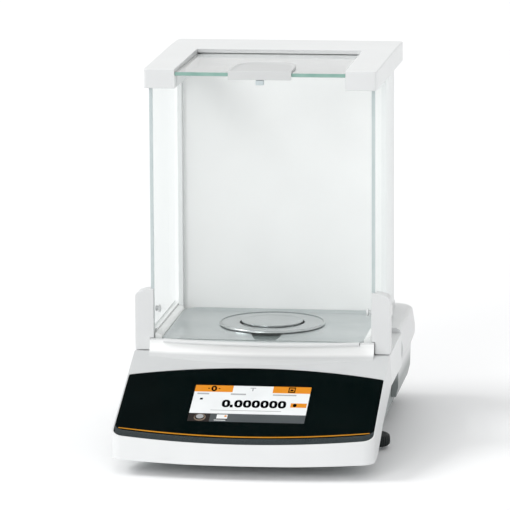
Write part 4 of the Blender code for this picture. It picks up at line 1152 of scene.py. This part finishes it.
def build_top_door():
    above = TOP_GLASS_HIGH.z + 0.3
    low, top = TAB_LOW, TAB_HIGH.z
    plans = [(0.0, above), (0.0, top - 0.5), (0.15, top - 0.15), (0.5, top),
             (1.6, top), (2.1, top - 0.3), (3.0, top - 0.75), (4.4, top - 0.95)]
    tab = loft("top_door_tab_shell", [[(x, y, z) for x, y in tab_plan(inset)] for inset, z in plans])
    lip_section = rounded_profile(rectangle(low.y, low.y + 1.5, low.z, top - 0.9), 0.4, 3)
    lip = side_prism("lip", lip_section, low.x, TAB_HIGH.x)
    tongue = block("tongue", (-24.0, low.y + 1.0, low.z + 0.2), (24.0, low.y + 5.6, TOP_GLASS_LOW.z - 0.3))
    boolean(tab, lip, tongue, operation="UNION")
    finish_mesh(tab, TAB, "top_door", "top_door_tab")
    low, high = node_box("top_door_knob")
    peg = round_edges(block("top_door_knob_shell", low, high), 0.7, 3, 40.0)
    finish_mesh(peg, PEG, "top_door", "top_door_knob")


# ---- rear connectors
def build_connectors():
    low, high = node_box("connector_plate")
    outline = rounded_profile(rectangle(low.x, high.x, low.z, high.z), 2.5, 6)
    plate = front_prism("connector_plate_shell", outline, low.y, high.y)
    inlet_low, inlet_high = node_box("power_inlet")
    inlet_x, inlet_z = (inlet_low.x + inlet_high.x) / 2, (inlet_low.z + inlet_high.z) / 2
    port_low, port_high = node_box("data_port")
    boolean(plate, front_prism("jack_hole", corner(inlet_x, inlet_z, 6.6, 0, 352.5, 48), 160.0, 180.0),
            block("port_hole", (port_low.x - 0.3, 160.0, port_low.z - 0.3),
                  (port_high.x + 0.3, 180.0, port_high.z + 0.3)))
    round_edges(plate, 0.3, 2, 60.0)
    finish_mesh(plate, GREY, BASE, "connector_plate")

    back = inlet_high.y
    shell = [(0.0, back - 8.0), (4.0, back - 8.0), (4.0, back - 0.5), (4.5, back), (5.9, back),
             (6.3, back - 0.4), (6.3, inlet_low.y), (0.0, inlet_low.y)]
    pin = [(0.0, back - 1.4), (0.5, back - 1.5), (0.9, back - 2.2), (0.9, back - 7.9), (0.0, back - 7.9)]
    turn = Matrix.Translation((inlet_x, 0, inlet_z)) @ Matrix.Rotation(-math.pi / 2, 4, "X")
    for name, profile, steps, material, node, slot in (
            ("power_inlet_shell", shell, 48, BLACK, "power_inlet", "black_plastic"),
            ("power_inlet_pin", pin, 24, POLISHED, None, "brushed_steel")):
        piece = turned(name, profile, (0, 0), steps)
        piece.data.transform(turn)
        finish_mesh(piece, material, BASE, node)

    port = block("data_port_shell", port_low, port_high)
    boolean(port, block("bore", (port_low.x + 1.0, port_low.y + 2.0, port_low.z + 1.0),
                        (port_high.x - 1.0, port_high.y + 5.0, port_high.z - 1.0)))
    finish_mesh(round_edges(port, 0.35, 2, 60.0), POLISHED, BASE, "data_port")
    tongue = block("data_port_tongue", (port_low.x + 3.2, port_low.y + 2.0, port_low.z + 5.6),
                   (port_high.x - 3.2, port_high.y - 2.5, port_low.z + 7.6))
    finish_mesh(round_edges(tongue, 0.3, 2, 60.0), BLACK, BASE, None)


# ---- pieces inside, carried over
INSIDE = {"calibration_motor": BLACK, "calibration_spindle": STEEL, "calibration_weight": BRASS,
          "coil": COPPER, "display_board": BOARD, "lcd_module": BLACK, "load_lever": ALUMINIUM,
          "magnet": GREY, "main_board": BOARD, "pan_support": ALUMINIUM, "weigh_cell_frame": ALUMINIUM,
          "weight_carrier": ALUMINIUM}


def finish_inside():
    for name, material in INSIDE.items():
        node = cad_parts[name]
        node.data.materials.clear()
        node.data.materials.append(material)


# ---- floor, light and camera
def build_studio():
    """A pale floor, an even sky, two soft suns and a spot on the floor in front of the balance."""
    bm = bmesh.new()
    bmesh.ops.create_grid(bm, x_segments=8, y_segments=8, size=9000.0)
    floor = add_mesh("floor", bm)
    floor.data.transform(Matrix.Scale(MM, 4))
    paper = surface("floor_paper", (0.95, 0.955, 0.96), (0.96, 0.965, 0.97), (0.6, 0.7),
                    patch=1.0, grain=300.0)
    floor.data.materials.append(paper)

    world = bpy.data.worlds.new("studio")
    bpy.context.scene.world = world
    world.use_nodes = True
    set_inputs(world.node_tree.nodes["Background"], Color=(1.0, 1.0, 1.0, 1), Strength=0.79)

    def lamp(name, kind, place, target, power):
        light = bpy.data.lights.new(name, kind)
        light.energy = power
        made = bpy.data.objects.new(name, light)
        made.location = place
        made.rotation_euler = (Vector(target) - Vector(place)).to_track_quat("-Z", "Y").to_euler()
        bpy.context.scene.collection.objects.link(made)
        return light

    for name, place, power in (("left_key", (-0.7, -0.1, 0.7), 1.15),
                               ("front_key", (-0.35, -0.87, 0.36), 0.6)):
        lamp(name, "SUN", place, (0, 0, 0), power).angle = math.radians(24.0)
    floor_spot = lamp("floor_spot", "SPOT", (-0.05, -0.66, 1.3), (-0.01, -0.36, 0), 22.0)
    floor_spot.spot_size = math.radians(20.0)
    floor_spot.spot_blend = 1.0
    floor_spot.shadow_soft_size = 0.1
    bpy.context.scene.view_settings.view_transform = "Standard"


def build_camera():
    """The place and the angle that the photo was taken from."""
    yaw, pitch, roll = math.radians(7.78), math.radians(9.91), math.radians(-0.30)
    flat = Vector((-math.sin(yaw), math.cos(yaw), 0))
    across = Vector((math.cos(yaw), math.sin(yaw), 0))
    up = Vector((0, 0, 1))
    forward = flat * math.cos(pitch) - up * math.sin(pitch)
    tall = up * math.cos(pitch) + flat * math.sin(pitch)
    right = across * math.cos(roll) + tall * math.sin(roll)
    top = tall * math.cos(roll) - across * math.sin(roll)
    data = bpy.data.cameras.new("camera")
    data.lens = 289.3
    data.sensor_width = 36.0
    data.clip_end = 50.0
    made = bpy.data.objects.new("camera", data)
    turn = Matrix((right, top, -forward)).transposed().to_4x4()
    made.matrix_world = Matrix.Translation((0.448, -3.361, 0.746)) @ turn
    bpy.context.scene.collection.objects.link(made)
    bpy.context.scene.camera = made


for build in (build_camera, build_studio, build_front_housing, build_bezel, build_screen, build_side_panels,
              build_rear_housing, build_base_pan, build_feet, build_floor, build_column, build_top_frame,
              build_glass, build_doors, build_top_door, build_connectors, finish_inside):
    build()
